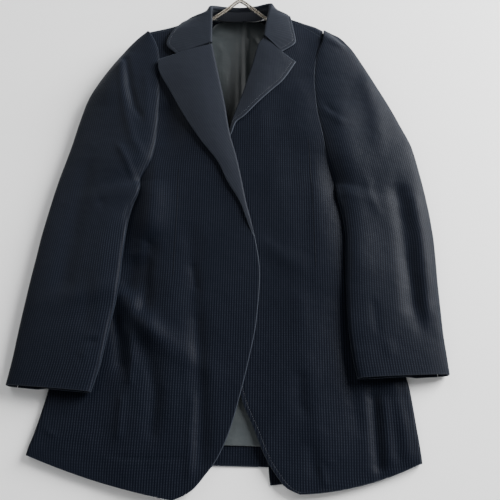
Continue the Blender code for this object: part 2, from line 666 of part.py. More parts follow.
def back_grid(side, hem):
    """Middle surface of a back half: round the shoulder, then flat down to the hem."""
    tip = BACK_TIP_RIGHT if side < 0 else BACK_TIP_LEFT
    seam_gap = GAP / 2 * side
    edge = sorted(hem)
    middle = BACK_MIDDLE + seam_gap
    top_x = [middle + (tip - middle) * u for u in BACK_COLUMNS]
    grid = []
    for k in range(BACK_SHOULDER_ROWS):
        t = 1 - k / BACK_SHOULDER_ROWS
        row = []
        for x in top_x:
            y, z = bezier(back_top(x), t)
            row.append(np.array([x, y, z]))
        grid.append(row)
    outer_floor = back_top(tip)[0][0]
    stations = [outer_floor] + BACK_STATIONS
    for i, outer_y in enumerate(stations):
        last = i == len(stations) - 1
        down = (outer_floor - outer_y) / (outer_floor - stations[-1])
        early = 1 - float(smooth(2 * i / (len(stations) - 1)))
        centre_y = BACK_NECK_Y + (hem[0][1] - BACK_NECK_Y) * down
        row = []
        for u, x_top in zip(BACK_COLUMNS, top_x):
            reach = side * back_outer(outer_y) if i else tip
            centre_x = float(by_height(BACK_SEAM, centre_y)) + seam_gap
            x = centre_x + (reach - centre_x) * u
            y = centre_y + (outer_y - centre_y) * u
            chord = BACK_NECK_Y + (outer_floor - BACK_NECK_Y) * u
            y += (back_top(x_top)[0][0] - chord) * early
            if last:
                y = float(monotone([p[0] for p in edge], [p[1] for p in edge], x))
            row.append(np.array([x, y, CLOTH / 2]))
        grid.append(row)
    return np.array(grid)


def body_top(x, y):
    """Upper face of whatever the sleeve lies on at a point: a front's side, or the floor."""
    distance = abs(x)
    height = front_z(x, y) + CLOTH / 2
    outside = float(smooth((side_x(y) + STEP_OUT - distance) / STEP_WIDTH))
    armhole = ARMHOLE_FOOT[1] - (distance - ARMHOLE_FOOT[0]) * ARMHOLE_SLOPE
    inside = float(smooth((armhole + UNDERARM_EARLY + UNDERARM_RAMP - y) / UNDERARM_RAMP))
    return height * outside * inside


def under_z(x, y):
    """Height of the middle of a sleeve's underside at a point."""
    rest = body_top(x, y)
    away = SLEEVE_CLEARANCE + UNDERARM_LIFT * math.exp(-((y - UNDERARM_Y) / UNDERARM_RAMP) ** 2)
    return CLOTH / 2 + rest + away * min(1.0, rest / (2 * CLOTH))


def squareness(w, power):
    """Height fraction of a flat tube with rounded edges at the fraction w across it."""
    return max(0.0, 1.0 - abs(1.0 - 2.0 * w) ** power) ** (1.0 / power)


class SleeveRow:
    """One cross-section of a sleeve."""

    def __init__(self, values):
        ix, iy, ox, oy, self.rise, self.top_out, self.edge_out, self.closed = values
        self.inner = np.array([ix, iy])
        self.outer = np.array([ox, oy])
        seam_edge = front_z(ix, iy) + CLOTH + GAP
        free_edge = under_z(ix, iy) + self.rise
        self.edge_in = seam_edge + (free_edge - seam_edge) * self.closed
        self.gap = 2 * GAP / np.linalg.norm(self.outer - self.inner)
        self.start = self.under_start()

    def plan(self, w):
        return self.inner + (self.outer - self.inner) * w

    def under_start(self):
        """Fraction across at which the underside begins: the back armhole, or the inner seam."""
        w = 0.6
        side = 1.0 if self.outer[0] > 0 else -1.0
        for _ in range(6):
            y = float(self.plan(w)[1])
            target = side * (float(by_height(BACK_ARMHOLE, y)) + ARMHOLE_CLEARANCE)
            w = (target - self.inner[0]) / (self.outer[0] - self.inner[0])
            w = min(max(w, UNDERSIDE_FROM), UNDERSIDE_TO)
        return w + (SLEEVE_SEAM_IN + self.gap - w) * self.closed

    def top(self, w):
        p = self.plan(w)
        level_in = self.edge_in + self.rise
        z = level_in + (self.top_out - level_in) * w + SLEEVE_BULGE * 4 * w * (1 - w)
        short = 1 - squareness(w, SLEEVE_TOP_SHAPE)
        if w < 0.5:
            z -= self.rise * short
        else:
            z -= (self.top_out - self.edge_out) * short
        return np.array([p[0], p[1], z])

    def bottom(self, w):
        p = self.plan(w)
        z = under_z(p[0], p[1])
        edge = self.edge_in if w < 0.5 else self.edge_out
        z += (edge - z) * (1 - squareness(w, SLEEVE_UNDER_SHAPE))
        return np.array([p[0], p[1], z])


def upper_sleeve_grid(table):
    grid = []
    for values in table_rows(table, ROW_STEP):
        section = SleeveRow(values)
        row = []
        for under, cap in SLEEVE_SEAM_COLUMNS:
            low = section.bottom(under)
            high = section.top(cap)
            row.append(high + (low - high) * section.closed)
        row.extend(section.top(w) for w in SLEEVE_TOP_COLUMNS)
        row.extend(section.bottom(w) for w in SLEEVE_UNDER_COLUMNS)
        grid.append(row)
    return np.array(grid)


def under_columns(section):
    """Fractions across the underside, closer together where it steps off the body's side."""
    last = SLEEVE_SEAM_OUT - section.gap
    start = section.start
    even = [start + (last - start) * k / 9 for k in range(10)]
    side = 1.0 if section.outer[0] > 0 else -1.0
    y = float(section.plan(0.5)[1])
    span = section.outer[0] - section.inner[0]
    edge = [(side * (side_x(y) + d) - section.inner[0]) / span for d in STEP_COLUMNS]
    stepped = [start + (edge[0] - start) * k / 3 for k in range(3)] + edge
    stepped += [edge[-1] + (last - edge[-1]) * 0.5, last]
    return [a + (b - a) * section.closed for a, b in zip(even, stepped)]


def under_sleeve_grid(table):
    grid = []
    for values in table_rows(table, ROW_STEP):
        section = SleeveRow(values)
        grid.append([section.bottom(w) for w in under_columns(section)])
    return np.array(grid)


def lining_grid():
    """Middle surface of the back lining, with the pleat down its middle."""
    offset = CLOTH / 2 + GAP + LINING / 2
    across = [-h for h in reversed(LINING_HALF)] + LINING_HALF[1:]
    grid = []
    for t in LINING_REACH:
        row = []
        for u in across:
            x = BACK_MIDDLE + u * (LINING_WIDTH_RIGHT if u < 0 else LINING_WIDTH_LEFT)
            shoulder = float(smooth((abs(x) - LINING_NECK) / LINING_NECK_BLEND))
            reach = t * (1 - 0.95 * shoulder)
            y, z = bezier(back_top(x), reach)
            y1, z1 = bezier(back_top(x), reach + 0.02)
            slope = math.hypot(y1 - y, z1 - z)
            away = offset + shoulder
            row.append(np.array([x, y - away * (z1 - z) / slope, z + away * (y1 - y) / slope]))
        grid.append(row)
    sides = sorted(LINING_SIDES)
    levels = [side[0] for side in sides]
    for i, station in enumerate(LINING_STATIONS):
        left = float(monotone(levels, [side[1] for side in sides], station))
        right = float(monotone(levels, [side[2] for side in sides], station))
        seam = float(by_height(BACK_SEAM, station))
        row = []
        for u in across:
            x = seam + (u * (seam - left) if u < 0 else u * (right - seam))
            top_x = BACK_MIDDLE + u * (LINING_WIDTH_RIGHT if u < 0 else LINING_WIDTH_LEFT)
            floor_y = back_top(top_x)[0][0]
            blend = float(smooth(i / 4))
            y = station + (floor_y - LINING_DROP - LINING_STATIONS[0]) * (1 - blend)
            if i == len(LINING_STATIONS) - 1:
                y = LINING_HEM_RIGHT + (LINING_HEM_LEFT - LINING_HEM_RIGHT) * (u + 1) / 2
            row.append(np.array([x, y, CLOTH + GAP + LINING / 2 + (1 - blend)]))
        grid.append(row)
    grid = np.array(grid)
    for row in grid:
        seam_x = row[len(LINING_HALF) - 1][0]
        for p in row:
            fade = float(smooth((p[1] - PLEAT_END) / PLEAT_FADE))
            p[2] += PLEAT_HEIGHT * fade * math.exp(-((p[0] - seam_x) / PLEAT_WIDTH) ** 2)
    return grid


def tube(name, path, radius, material):
    """Closed round wire along a path of points."""
    path = np.array(path, float)
    sides = WIRE_SIDES
    verts = []
    for i, p in enumerate(path):
        a = path[max(i - 1, 0)]
        b = path[min(i + 1, len(path) - 1)]
        along = (b - a) / np.linalg.norm(b - a)
        side = np.cross(along, np.array([0, -HANGER_RISE, 1.0]))
        side = side / np.linalg.norm(side)
        up = np.cross(side, along)
        for k in range(sides):
            angle = 2 * math.pi * k / sides
            verts.append(p + radius * (side * math.cos(angle) + up * math.sin(angle)))
    faces = []
    for i in range(len(path) - 1):
        for k in range(sides):
            a = i * sides + k
            b = i * sides + (k + 1) % sides
            faces.append((a, b, b + sides, a + sides))
    faces.append(tuple(reversed(range(sides))))
    faces.append(tuple((len(path) - 1) * sides + k for k in range(sides)))
    verts = placed(np.array(verts))
    if volume_of(verts, faces) < 0:
        faces = [tuple(reversed(f)) for f in faces]
    return make_object(name, verts, faces, material)


def hanger_z(y):
    return HANGER_BASE + HANGER_RISE * y


def wire_points(shift):
    """Path of one wire, smoothed, moved down the jacket by shift."""
    data = np.array(WIRE_PATH, float)
    move = np.sqrt((np.diff(data, axis=0) ** 2).sum(axis=1))
    along = np.concatenate([[0.0], np.cumsum(move)])
    at = np.linspace(0, along[-1], WIRE_POINTS)
    xs = monotone(along, data[:, 0], at)
    ys = monotone(along, data[:, 1], at)
    slope = np.stack([np.gradient(xs), np.gradient(ys)], axis=1)
    slope = slope / np.linalg.norm(slope, axis=1, keepdims=True)
    xs = xs + slope[:, 1] * shift
    ys = ys - slope[:, 0] * shift
    return [(x, y, hanger_z(y)) for x, y in zip(xs, ys)]


def hook_points():
    """Shank above the apex and the open hook turned over at its end."""
    middle, start = HOOK_START
    turn = start + HOOK_SHANK
    points = [(middle, start, hanger_z(start)), (middle, turn, hanger_z(turn))]
    for k in range(1, HOOK_STEPS):
        angle = math.radians(HOOK_STEP * k - 90.0)
        reach = HOOK_RADIUS * math.cos(angle) * min(1.0, k / 3)
        y = turn + HOOK_RADIUS * (1 + math.sin(angle))
        points.append((middle + reach, y, hanger_z(y)))
    return points


def surface(name, colour, roughness, metallic=0.0):
    material = bpy.data.materials.new(name)
    material.use_nodes = True
    shader = material.node_tree.nodes["Principled BSDF"]
    shader.inputs["Base Color"].default_value = colour
    shader.inputs["Roughness"].default_value = roughness
    shader.inputs["Metallic"].default_value = metallic
    material.diffuse_color = colour
    return material


def clear_scene():
    for obj in list(bpy.data.objects):
        bpy.data.objects.remove(obj, do_unlink=True)


def build():
    clear_scene()
    leaf, stand = collar_grids(COLLAR)
    cloth("back_right", back_grid(-1, BACK_HEM_RIGHT), CLOTH, surface("back_right", NAVY, 0.8))
    cloth("back_left", back_grid(1, BACK_HEM_LEFT), CLOTH, surface("back_left", NAVY, 0.8))
    cloth("back_lining", lining_grid(), LINING, surface("back_lining", LINING_GREEN, 0.5))
    cloth("front_right", front_grid(FRONT_RIGHT, front_right_z, LAPEL_RIGHT), CLOTH,
          surface("front_right", NAVY, 0.8))
    cloth("front_left", front_grid(FRONT_LEFT, front_left_z, LAPEL_LEFT), CLOTH,
          surface("front_left", NAVY, 0.8))
    cloth("lapel_right", lapel_grid(LAPEL_RIGHT, front_right_z), TURNED,
          surface("lapel_right", FACING, 0.8))
    cloth("lapel_left", lapel_grid(LAPEL_LEFT, front_left_z), TURNED,
          surface("lapel_left", FACING, 0.8))
    cloth("collar_leaf", leaf, TURNED, surface("collar_leaf", FACING, 0.8))
    cloth("collar_stand", stand, CLOTH, surface("collar_stand", FACING, 0.8))
    cloth("upper_sleeve_right", upper_sleeve_grid(SLEEVE_RIGHT), CLOTH,
          surface("upper_sleeve_right", NAVY, 0.8))
    cloth("upper_sleeve_left", upper_sleeve_grid(SLEEVE_LEFT), CLOTH,
          surface("upper_sleeve_left", NAVY, 0.8))
    cloth("under_sleeve_right", under_sleeve_grid(SLEEVE_RIGHT), CLOTH,
          surface("under_sleeve_right", NAVY, 0.8))
    cloth("under_sleeve_left", under_sleeve_grid(SLEEVE_LEFT), CLOTH,
          surface("under_sleeve_left", NAVY, 0.8))
    tube("hanger_wire_upper", wire_points(0.0), WIRE_RADIUS,
         surface("hanger_wire_upper", WIRE_METAL, 0.35, 1.0))
    tube("hanger_wire_lower", wire_points(WIRE_SPACING), WIRE_RADIUS,
         surface("hanger_wire_lower", WIRE_METAL, 0.35, 1.0))
    tube("hanger_hook", hook_points(), HOOK_WIRE, surface("hanger_hook", WIRE_METAL, 0.35, 1.0))


build()
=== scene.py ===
# %% [markdown]
# # A tailored jacket laid flat with a wire hanger inside
#
# The jacket lies on its back on a pale floor. Its imported model already has every cut piece of
# cloth as a thin solid: two fronts, two lapels, a collar leaf and stand, two backs, the back
# lining and four sleeve parts. This file gives each of them its real surface. We load the model
# first, because every piece made here has to sit where that solid sits.

# %% Load the imported jacket
import math

import bpy
import numpy as np
from mathutils import Euler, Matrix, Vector


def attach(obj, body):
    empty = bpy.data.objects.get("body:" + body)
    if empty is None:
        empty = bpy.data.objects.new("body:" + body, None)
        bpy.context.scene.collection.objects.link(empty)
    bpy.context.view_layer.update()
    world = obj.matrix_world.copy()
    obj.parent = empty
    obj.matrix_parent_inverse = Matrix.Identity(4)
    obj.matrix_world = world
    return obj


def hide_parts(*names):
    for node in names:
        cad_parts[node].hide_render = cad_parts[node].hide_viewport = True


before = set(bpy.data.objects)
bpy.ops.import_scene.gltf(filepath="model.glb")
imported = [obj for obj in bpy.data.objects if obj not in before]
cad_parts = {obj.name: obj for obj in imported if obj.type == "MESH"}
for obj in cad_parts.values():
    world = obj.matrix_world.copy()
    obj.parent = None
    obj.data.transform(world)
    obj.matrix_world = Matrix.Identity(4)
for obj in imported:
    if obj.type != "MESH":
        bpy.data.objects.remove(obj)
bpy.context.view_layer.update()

MM = 0.001


def add_object(name, data):
    """A new object of the scene that holds the given data."""
    made = bpy.data.objects.new(name, data)
    bpy.context.scene.collection.objects.link(made)
    return made


print("pieces in the packed jacket:", len(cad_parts))

# %% [markdown]
# ## Camera
#
# The photograph was taken standing over the hem, looking down at the jacket with the lens tipped
# about 24 degrees away from straight down. A camera at a real distance with a real lens gives the
# same narrowing towards the collar, which a flat top view would lose.

# %% Camera at the photograph's angle
EYE = (0.0404, -0.4528, 0.8335)
TIP = math.radians(24.1)
ROLL = math.radians(0.6)
SWING = math.radians(1.03)
LENS = 46.8

camera_data = bpy.data.cameras.new("camera")
camera_data.lens = LENS
camera_data.sensor_width = 36.0
camera_data.clip_start = 0.01
camera = add_object("camera", camera_data)
camera.location = EYE
camera.rotation_euler = Euler((TIP, ROLL, SWING))
bpy.context.scene.camera = camera
print("camera height", round(EYE[2], 3), "m, lens", LENS, "mm")

# %% [markdown]
# ## Shading formulas
#
# A woven stripe is easiest to describe with sums: so many millimetres across, so many along.
# Blender writes sums as Math nodes, one for each sign. This small class wraps a node's output, so
# that an ordinary Python formula builds those nodes, and one method reaches any other node.

# %% Formula class for node trees
class Field:
    """A value that varies over a surface, carried by one output of a node."""

    def __init__(self, tree, socket):
        self.tree = tree
        self.socket = socket

    def node(self, kind, inputs=None, out=0, **settings):
        made = self.tree.nodes.new(kind)
        for key, value in settings.items():
            setattr(made, key, value)
        for key, value in (inputs or {}).items():
            if isinstance(value, Field):
                self.tree.links.new(value.socket, made.inputs[key])
            else:
                made.inputs[key].default_value = value
        return Field(self.tree, made.outputs[out])

    def maths(self, operation, first, second=None, clamp=False):
        inputs = {0: first}
        if second is not None:
            inputs[1] = second
        return self.node("ShaderNodeMath", inputs, operation=operation, use_clamp=clamp)

    def __add__(self, other):
        return self.maths("ADD", self, other)

    def __radd__(self, other):
        return self.maths("ADD", other, self)

    def __sub__(self, other):
        return self.maths("SUBTRACT", self, other)

    def __rsub__(self, other):
        return self.maths("SUBTRACT", other, self)

    def __mul__(self, other):
        return self.maths("MULTIPLY", self, other)

    def __rmul__(self, other):
        return self.maths("MULTIPLY", other, self)

    def __truediv__(self, other):
        return self.maths("DIVIDE", self, other)

    def __pow__(self, other):
        return self.maths("POWER", self, other)

    def __abs__(self):
        return self.maths("ABSOLUTE", self)

    def wave(self, pitch):
        """0 to 1 and back once in every pitch."""
        return self.maths("COSINE", self * (2 * math.pi / pitch)) * 0.5 + 0.5

    def ramp(self, low, high):
        """Soft step from 0 at low to 1 at high."""
        return self.node(
            "ShaderNodeMapRange",
            {"Value": self, "From Min": low, "From Max": high},
            interpolation_type="SMOOTHSTEP",
        )

    def blend(self, first, second):
        """Colour that goes from first to second as this value goes from 0 to 1."""
        return self.node(
            "ShaderNodeMix", {0: self, 6: first, 7: second}, out=2, data_type="RGBA"
        )

    def other(self, out):
        """Another output of the same node."""
        return Field(self.tree, self.socket.node.outputs[out])

    def feed(self, socket):
        self.tree.links.new(self.socket, socket)


def new_finish(name, roughness, sheen=0.0, sheen_roughness=0.5, sheen_tint=(1, 1, 1, 1), metallic=0.0,
               gloss=0.5):
    """A material, the inputs of its shader, and the place on the object in metres as a field."""
    material = bpy.data.materials.new(name)
    material.use_nodes = True
    tree = material.node_tree
    shader = tree.nodes["Principled BSDF"].inputs
    shader["Roughness"].default_value = roughness
    shader["Metallic"].default_value = metallic
    shader["Specular IOR Level"].default_value = gloss
    shader["Sheen Weight"].default_value = sheen
    shader["Sheen Roughness"].default_value = sheen_roughness
    shader["Sheen Tint"].default_value = sheen_tint
    return material, shader, Field(tree, tree.nodes.new("ShaderNodeTexCoord").outputs["Object"])


def flat_place(start, layer):
    """The two coordinates of a UV map as fields."""
    uv = start.node("ShaderNodeUVMap", uv_map=layer)
    u = uv.node("ShaderNodeSeparateXYZ", {0: uv})
    return u, u.other(1)


def noise(place, scale, detail=2.0):
    return place.node("ShaderNodeTexNoise", {"Vector": place, "Scale": scale, "Detail": detail})


def bumped(heights):
    """Normal from a list of (field, its full height in metres), the coarsest first."""
    normal = None
    for field, height in heights:
        inputs = {"Height": field, "Distance": height, "Strength": 1.0}
        if normal is not None:
            inputs["Normal"] = normal
        normal = field.node("ShaderNodeBump", inputs)
    return normal


print("formula class ready")

# %% [markdown]
# ## Suiting
#
# The outer cloth is a very dark navy wool with a fine self stripe: thin paler threads about
# 3.3 mm apart run up and down the jacket and along each sleeve, and each is broken by weft rows
# at about the same pitch. Worsted wool also has a faint bluish bloom where it turns away from the
# eye, which is what sheen is for. The stripe is drawn from a UV map in metres, so it follows the
# grain of each piece instead of the room. The lapels, the collar leaf and the stand are the same
# cloth, but they get paler copies of it: painted light.

# %% Suiting, and its paler painted-light copies for the facing and stand
NAVY_GROUND = (0.0024, 0.0034, 0.0067, 1.0)
NAVY_STRIPE = (0.0135, 0.0162, 0.0240, 1.0)
# The facing of the lapels and collar leaf is a paler copy of the navy: painted light where those
# pieces turn up to the light.
FACING_PAINTED_LIGHT_GROUND = (0.0112, 0.0129, 0.0180, 1.0)
FACING_PAINTED_LIGHT_STRIPE = (0.0180, 0.0205, 0.0270, 1.0)
# The stand's ground is paler still: painted light on the inside of the collar, which lies in shade.
STAND_PAINTED_LIGHT_GROUND = (0.0700, 0.0740, 0.0900, 1.0)
# Paler colour towards every rim: a painted highlight on the rounded edges.
RIM_HIGHLIGHT_COLOUR = (0.040, 0.046, 0.058, 1.0)
CLOTH_ROUGHNESS = 0.47
CLOTH_GLOSS = 0.04
BLOOM = (0.72, 0.84, 1.0, 1.0)
STRIPE_PITCH = 0.0033
WEFT_PITCH = 0.0031
TWILL_PITCH = 0.0007
CRUMPLE = 0.0011       # heights of the small crumples, the threads and the sewn darts, in metres
RELIEF = 0.00010
DART_DEPTH = 0.00012
# Colour of each dart's sewn line: painted shade in the slit of the seam.
DART_PAINTED_SHADE = (0.0008, 0.0010, 0.0014, 1.0)


def suiting(name, ground, stripe_colour, sheen, darts=(), stripe_share=1.0, rim_highlight_share=0.5):
    """Striped worsted. darts holds (u, v at the top, v at the bottom, lean) of each sewn line."""
    material, shader, place = new_finish(name, CLOTH_ROUGHNESS, sheen, 0.5, BLOOM, gloss=CLOTH_GLOSS)
    u, v = flat_place(place, "cloth")
    to_rim, _ = flat_place(place, "edge")
    mottle = noise(place, 26.0, 4.0)
    slub = noise(place, 420.0)
    drawn = u.wave(STRIPE_PITCH) ** 3.0 * (v.wave(WEFT_PITCH) * 0.5 + 0.5) * (slub * 0.8 + 0.6)
    colour = (drawn * stripe_share * (mottle * 0.7 + 0.65)).blend(ground, stripe_colour)
    # Paler towards the rims: painted highlight on the rounded edges.
    rim_highlight = 1.0 - to_rim.ramp(0.0003, 0.0016)
    colour = (rim_highlight * rim_highlight_share).blend(colour, RIM_HIGHLIGHT_COLOUR)
    twill = (u + v * 1.7).wave(TWILL_PITCH)
    heights = [(noise(place, 34.0), CRUMPLE)]
    for du, top, bottom, lean in darts:
        away = abs(u - du - (v - top) * lean)
        inside = v.ramp(top - 0.002, top + 0.004) * (1.0 - v.ramp(bottom - 0.004, bottom + 0.002))
        line = (1.0 - away.ramp(0.0001, 0.0008)) * inside
        # The dart's line is painted darker: painted shade in its slit.
        colour = (line * 0.7).blend(colour, DART_PAINTED_SHADE)
        heights.append((1.0 - line, DART_DEPTH))
    heights.append((drawn * 0.6 + twill * 0.25, RELIEF))
    colour.feed(shader["Base Color"])
    (mottle * 0.12 + (CLOTH_ROUGHNESS - 0.06)).feed(shader["Roughness"])
    bumped(heights).feed(shader["Normal"])
    return material


DART_RIGHT = (-0.080, 0.226, 0.391, 0.0)
DART_LEFT = (0.110, 0.175, 0.376, 0.025)
cloth_back = suiting("suiting_back", NAVY_GROUND, NAVY_STRIPE, 0.02)
cloth_front_right = suiting("suiting_front_right", NAVY_GROUND, NAVY_STRIPE, 0.02, [DART_RIGHT])
cloth_front_left = suiting("suiting_front_left", NAVY_GROUND, NAVY_STRIPE, 0.02, [DART_LEFT])
cloth_sleeve = suiting("suiting_sleeve", NAVY_GROUND, NAVY_STRIPE, 0.04, rim_highlight_share=0.25)
# Lapels and collar leaf: the same suiting painted paler, as painted light.
cloth_facing_painted_light = suiting(
    "suiting_facing_painted_light", FACING_PAINTED_LIGHT_GROUND, FACING_PAINTED_LIGHT_STRIPE, 0.04, stripe_share=0.6, rim_highlight_share=0.8
)
# Collar stand: the same suiting painted much paler, as painted light on a piece that lies in shade.
cloth_stand_painted_light = suiting("suiting_stand_painted_light", STAND_PAINTED_LIGHT_GROUND, FACING_PAINTED_LIGHT_STRIPE, 0.04, stripe_share=0.4)
print("suiting finishes:", 6)

# %% [markdown]
# ## Lining, metal and thread
#
# The lining is a grey-green satin: long warp threads give it a soft directional gloss, so it gets
# a lower roughness and very fine ribs. The hanger is bent from bright champagne wire with slight
# handling marks. The thread is dark polyester, a little glossier than the cloth it sews.

# %% Lining, wire and thread finishes
LINING_COLOUR = (0.027, 0.033, 0.036, 1.0)
LINING_LIGHT = (0.040, 0.047, 0.050, 1.0)
WIRE_COLOUR = (0.82, 0.75, 0.64, 1.0)
WIRE_DULL = (0.62, 0.55, 0.46, 1.0)
THREAD_COLOUR = (0.012, 0.014, 0.020, 1.0)
THREAD_LIGHT = (0.022, 0.025, 0.034, 1.0)
LINING_TINT = (0.9, 1.0, 0.98, 1.0)
RIB_ACROSS = 0.0006    # pitch of the satin's ribs
RIB_ALONG = 0.0009
RIPPLE = 0.0009        # heights in metres: the lining's ripples and ribs, marks, twist of the thread
RIB_HEIGHT = 0.00004
MARK_HEIGHT = 0.00003
TWIST_HEIGHT = 0.00008


def satin(name):
    material, shader, place = new_finish(name, 0.42, 0.25, 0.35, LINING_TINT)
    u, v = flat_place(place, "cloth")
    cloud = noise(place, 30.0, 3.0)
    ribs = u.wave(RIB_ACROSS) * 0.6 + v.wave(RIB_ALONG) * 0.4
    (cloud * 0.8 + ribs * 0.2).blend(LINING_COLOUR, LINING_LIGHT).feed(shader["Base Color"])
    (cloud * 0.14 + 0.36).feed(shader["Roughness"])
    bumped([(noise(place, 55.0), RIPPLE), (ribs, RIB_HEIGHT)]).feed(shader["Normal"])
    return material


def wire_metal(name):
    material, shader, place = new_finish(name, 0.28, metallic=1.0)
    marks = noise(place, 300.0, 4.0)
    marks.ramp(0.45, 0.75).blend(WIRE_COLOUR, WIRE_DULL).feed(shader["Base Color"])
    (marks * 0.22 + 0.16).feed(shader["Roughness"])
    bumped([(marks, MARK_HEIGHT)]).feed(shader["Normal"])
    return material


def thread_finish(name):
    material, shader, place = new_finish(name, 0.5, 0.3, 0.4, BLOOM)
    twist = noise(place, 1400.0)
    twist.blend(THREAD_COLOUR, THREAD_LIGHT).feed(shader["Base Color"])
    bumped([(twist, TWIST_HEIGHT)]).feed(shader["Normal"])
    return material


satin_lining = satin("lining_satin")
champagne_wire = wire_metal("champagne_wire")
sewing_thread = thread_finish("sewing_thread")
print("other finishes:", 3)

# %% [markdown]
# ## Floor and light
#
# The photograph has soft daylight from the upper right and a pale floor that darkens a little
# towards the lower left. One large panel low on that side draws out the folds, a weaker one at the
# upper left keeps the far sleeve readable, another beyond the hem lights the inside of the collar,
# and the world fills the shadows.

# %% Floor and lights
FLOOR_COLOUR = (0.88, 0.88, 0.875, 1.0)
FLOOR_SHADE = (0.85, 0.85, 0.85, 1.0)
FLOOR_HALF = 4.0
PANEL_SIZE = 1.6
KEY_PLACE = (2.0, 1.15, 1.15)
KEY_POWER = 275.0
LEFT_PLACE = (-1.3, 1.1, 1.5)
LEFT_POWER = 21.0
FRONT_PLACE = (0.2, -2.2, 0.7)
FRONT_POWER = 30.0
WORLD_COLOUR = (0.93, 0.96, 1.0, 1.0)
WORLD_LIGHT = 0.11

floor_material, floor_shader, floor_place = new_finish("floor_plain", 0.55)
noise(floor_place, 1.6).blend(FLOOR_SHADE, FLOOR_COLOUR).feed(floor_shader["Base Color"])
floor_mesh = bpy.data.meshes.new("floor")
corners = [(-1, -1), (1, -1), (1, 1), (-1, 1)]
floor_mesh.from_pydata([(x * FLOOR_HALF, y * FLOOR_HALF, 0.0) for x, y in corners], [], [(0, 1, 2, 3)])
floor_mesh.materials.append(floor_material)
floor = add_object("floor", floor_mesh)


def panel_light(name, place, power):
    """A square panel of light that faces the middle of the jacket."""
    data = bpy.data.lights.new(name, "AREA")
    data.shape = "SQUARE"
    data.size = PANEL_SIZE
    data.energy = power
    lamp = add_object(name, data)
    lamp.location = place
    lamp.rotation_euler = (-Vector(place)).to_track_quat("-Z", "Y").to_euler()


panel_light("daylight", KEY_PLACE, KEY_POWER)
panel_light("from_upper_left", LEFT_PLACE, LEFT_POWER)
panel_light("from_hem_side", FRONT_PLACE, FRONT_POWER)
world = bpy.data.worlds.new("studio")
world.use_nodes = True
world.node_tree.nodes["Background"].inputs["Color"].default_value = WORLD_COLOUR
world.node_tree.nodes["Background"].inputs["Strength"].default_value = WORLD_LIGHT
bpy.context.scene.world = world
print("daylight", KEY_POWER, "W, from the upper left", LEFT_POWER, "W")

# %% [markdown]
# ## Drafting sizes
#
# A cutter works from a draft on the table: x across from the middle of the back, y up from the
# collar notch towards the neck and down to the hem, all in millimetres. The same draft made the
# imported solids, so the same tables are repeated here, and only the steps between their rows are
# finer. Heights are those of the cloth's middle.

# %% Cloth thicknesses and general sizes
CLOTH = 2.2            # outer cloth with its interlining
TURNED = 2.6           # lapel and collar leaf, two cloths pressed together
LINING = 1.2
GAP = 0.4              # clearance between pieces at seams and between layers
FOLD = 1.7             # middle radius of the turn at the roll line
SIDE_EXTENT = 10.0     # how far each front reaches under the body before the side seam
SIDE_SETBACK = 4.0     # how far in from the side line the height of the fold is read
SIDE_RESERVE = 16.0    # width that the side columns keep where a front stops at the armhole
LAPEL_TUCK = 0.9       # clearance of a front's edge beyond the turn of its lapel
CENTRE_X = -0.345
CENTRE_Y = -262.28
STEP = 3.4             # distance between neighbouring rows and columns of a finished piece
DRAFT_STEP = 2.5       # and of the draft that it is drawn from
print("outer cloth", CLOTH, "mm, turned edges", TURNED, "mm, lining", LINING, "mm")

# %% Body heights
CROWN = [
    (70, 41.0), (20, 41.0), (-12, 40.0), (-49, 37.5), (-89, 34.5), (-120, 32.5), (-168, 29.0),
    (-210, 26.0), (-243, 24.0), (-283, 21.0), (-331, 18.4), (-368, 16.5), (-404, 15.0),
    (-450, 13.5), (-550, 11.5), (-680, 9.0),
]
CHEST_FALL = [(70, 4.0), (-100, 4.0), (-330, 0.0), (-680, 0.0)]
CHEST_FROM = 35.0
CHEST_WIDTH = 85.0
SIDE_HEIGHT = [(70, 12.0), (-240, 10.0), (-400, 9.0), (-550, 8.2), (-680, 7.6)]
FALL_INNER = 112.0
FALL_OUTER = 160.0
FALL_TOP = -170.0
FALL_LENGTH = 80.0
UNDER_DROP = 1.2
UNDER_DROP_FROM = 100.0
UNDER_DROP_WIDTH = 45.0
OVERLAP_DROP = 2.6
OVERLAP_MARGIN = 4.0
OVERLAP_WIDTH = 56.0
FOLDS_RIGHT = [
    (-148, -414, -104, -466, 14.0, 3.2),
    (-104, -466, -39, -511, 16.0, 3.0),
    (-113, -352, -116, -436, 10.0, -4.5),
    (-58, -336, -39, -514, 12.0, -1.8),
    (-39, -514, -33, -604, 12.0, -1.4),
    (-82, -400, -72, -560, 14.0, 1.4),
]
FOLDS_LEFT = [
    (41, -343, 93, -372, 13.0, 1.6),
    (187, -533, 200, -617, 12.0, -1.2),
    (212, -540, 222, -612, 9.0, 2.0),
    (95, -430, 108, -590, 15.0, 1.4),
]
print("height over the chest", CROWN[0][1], "mm, over the hem", CROWN[-1][1], "mm")

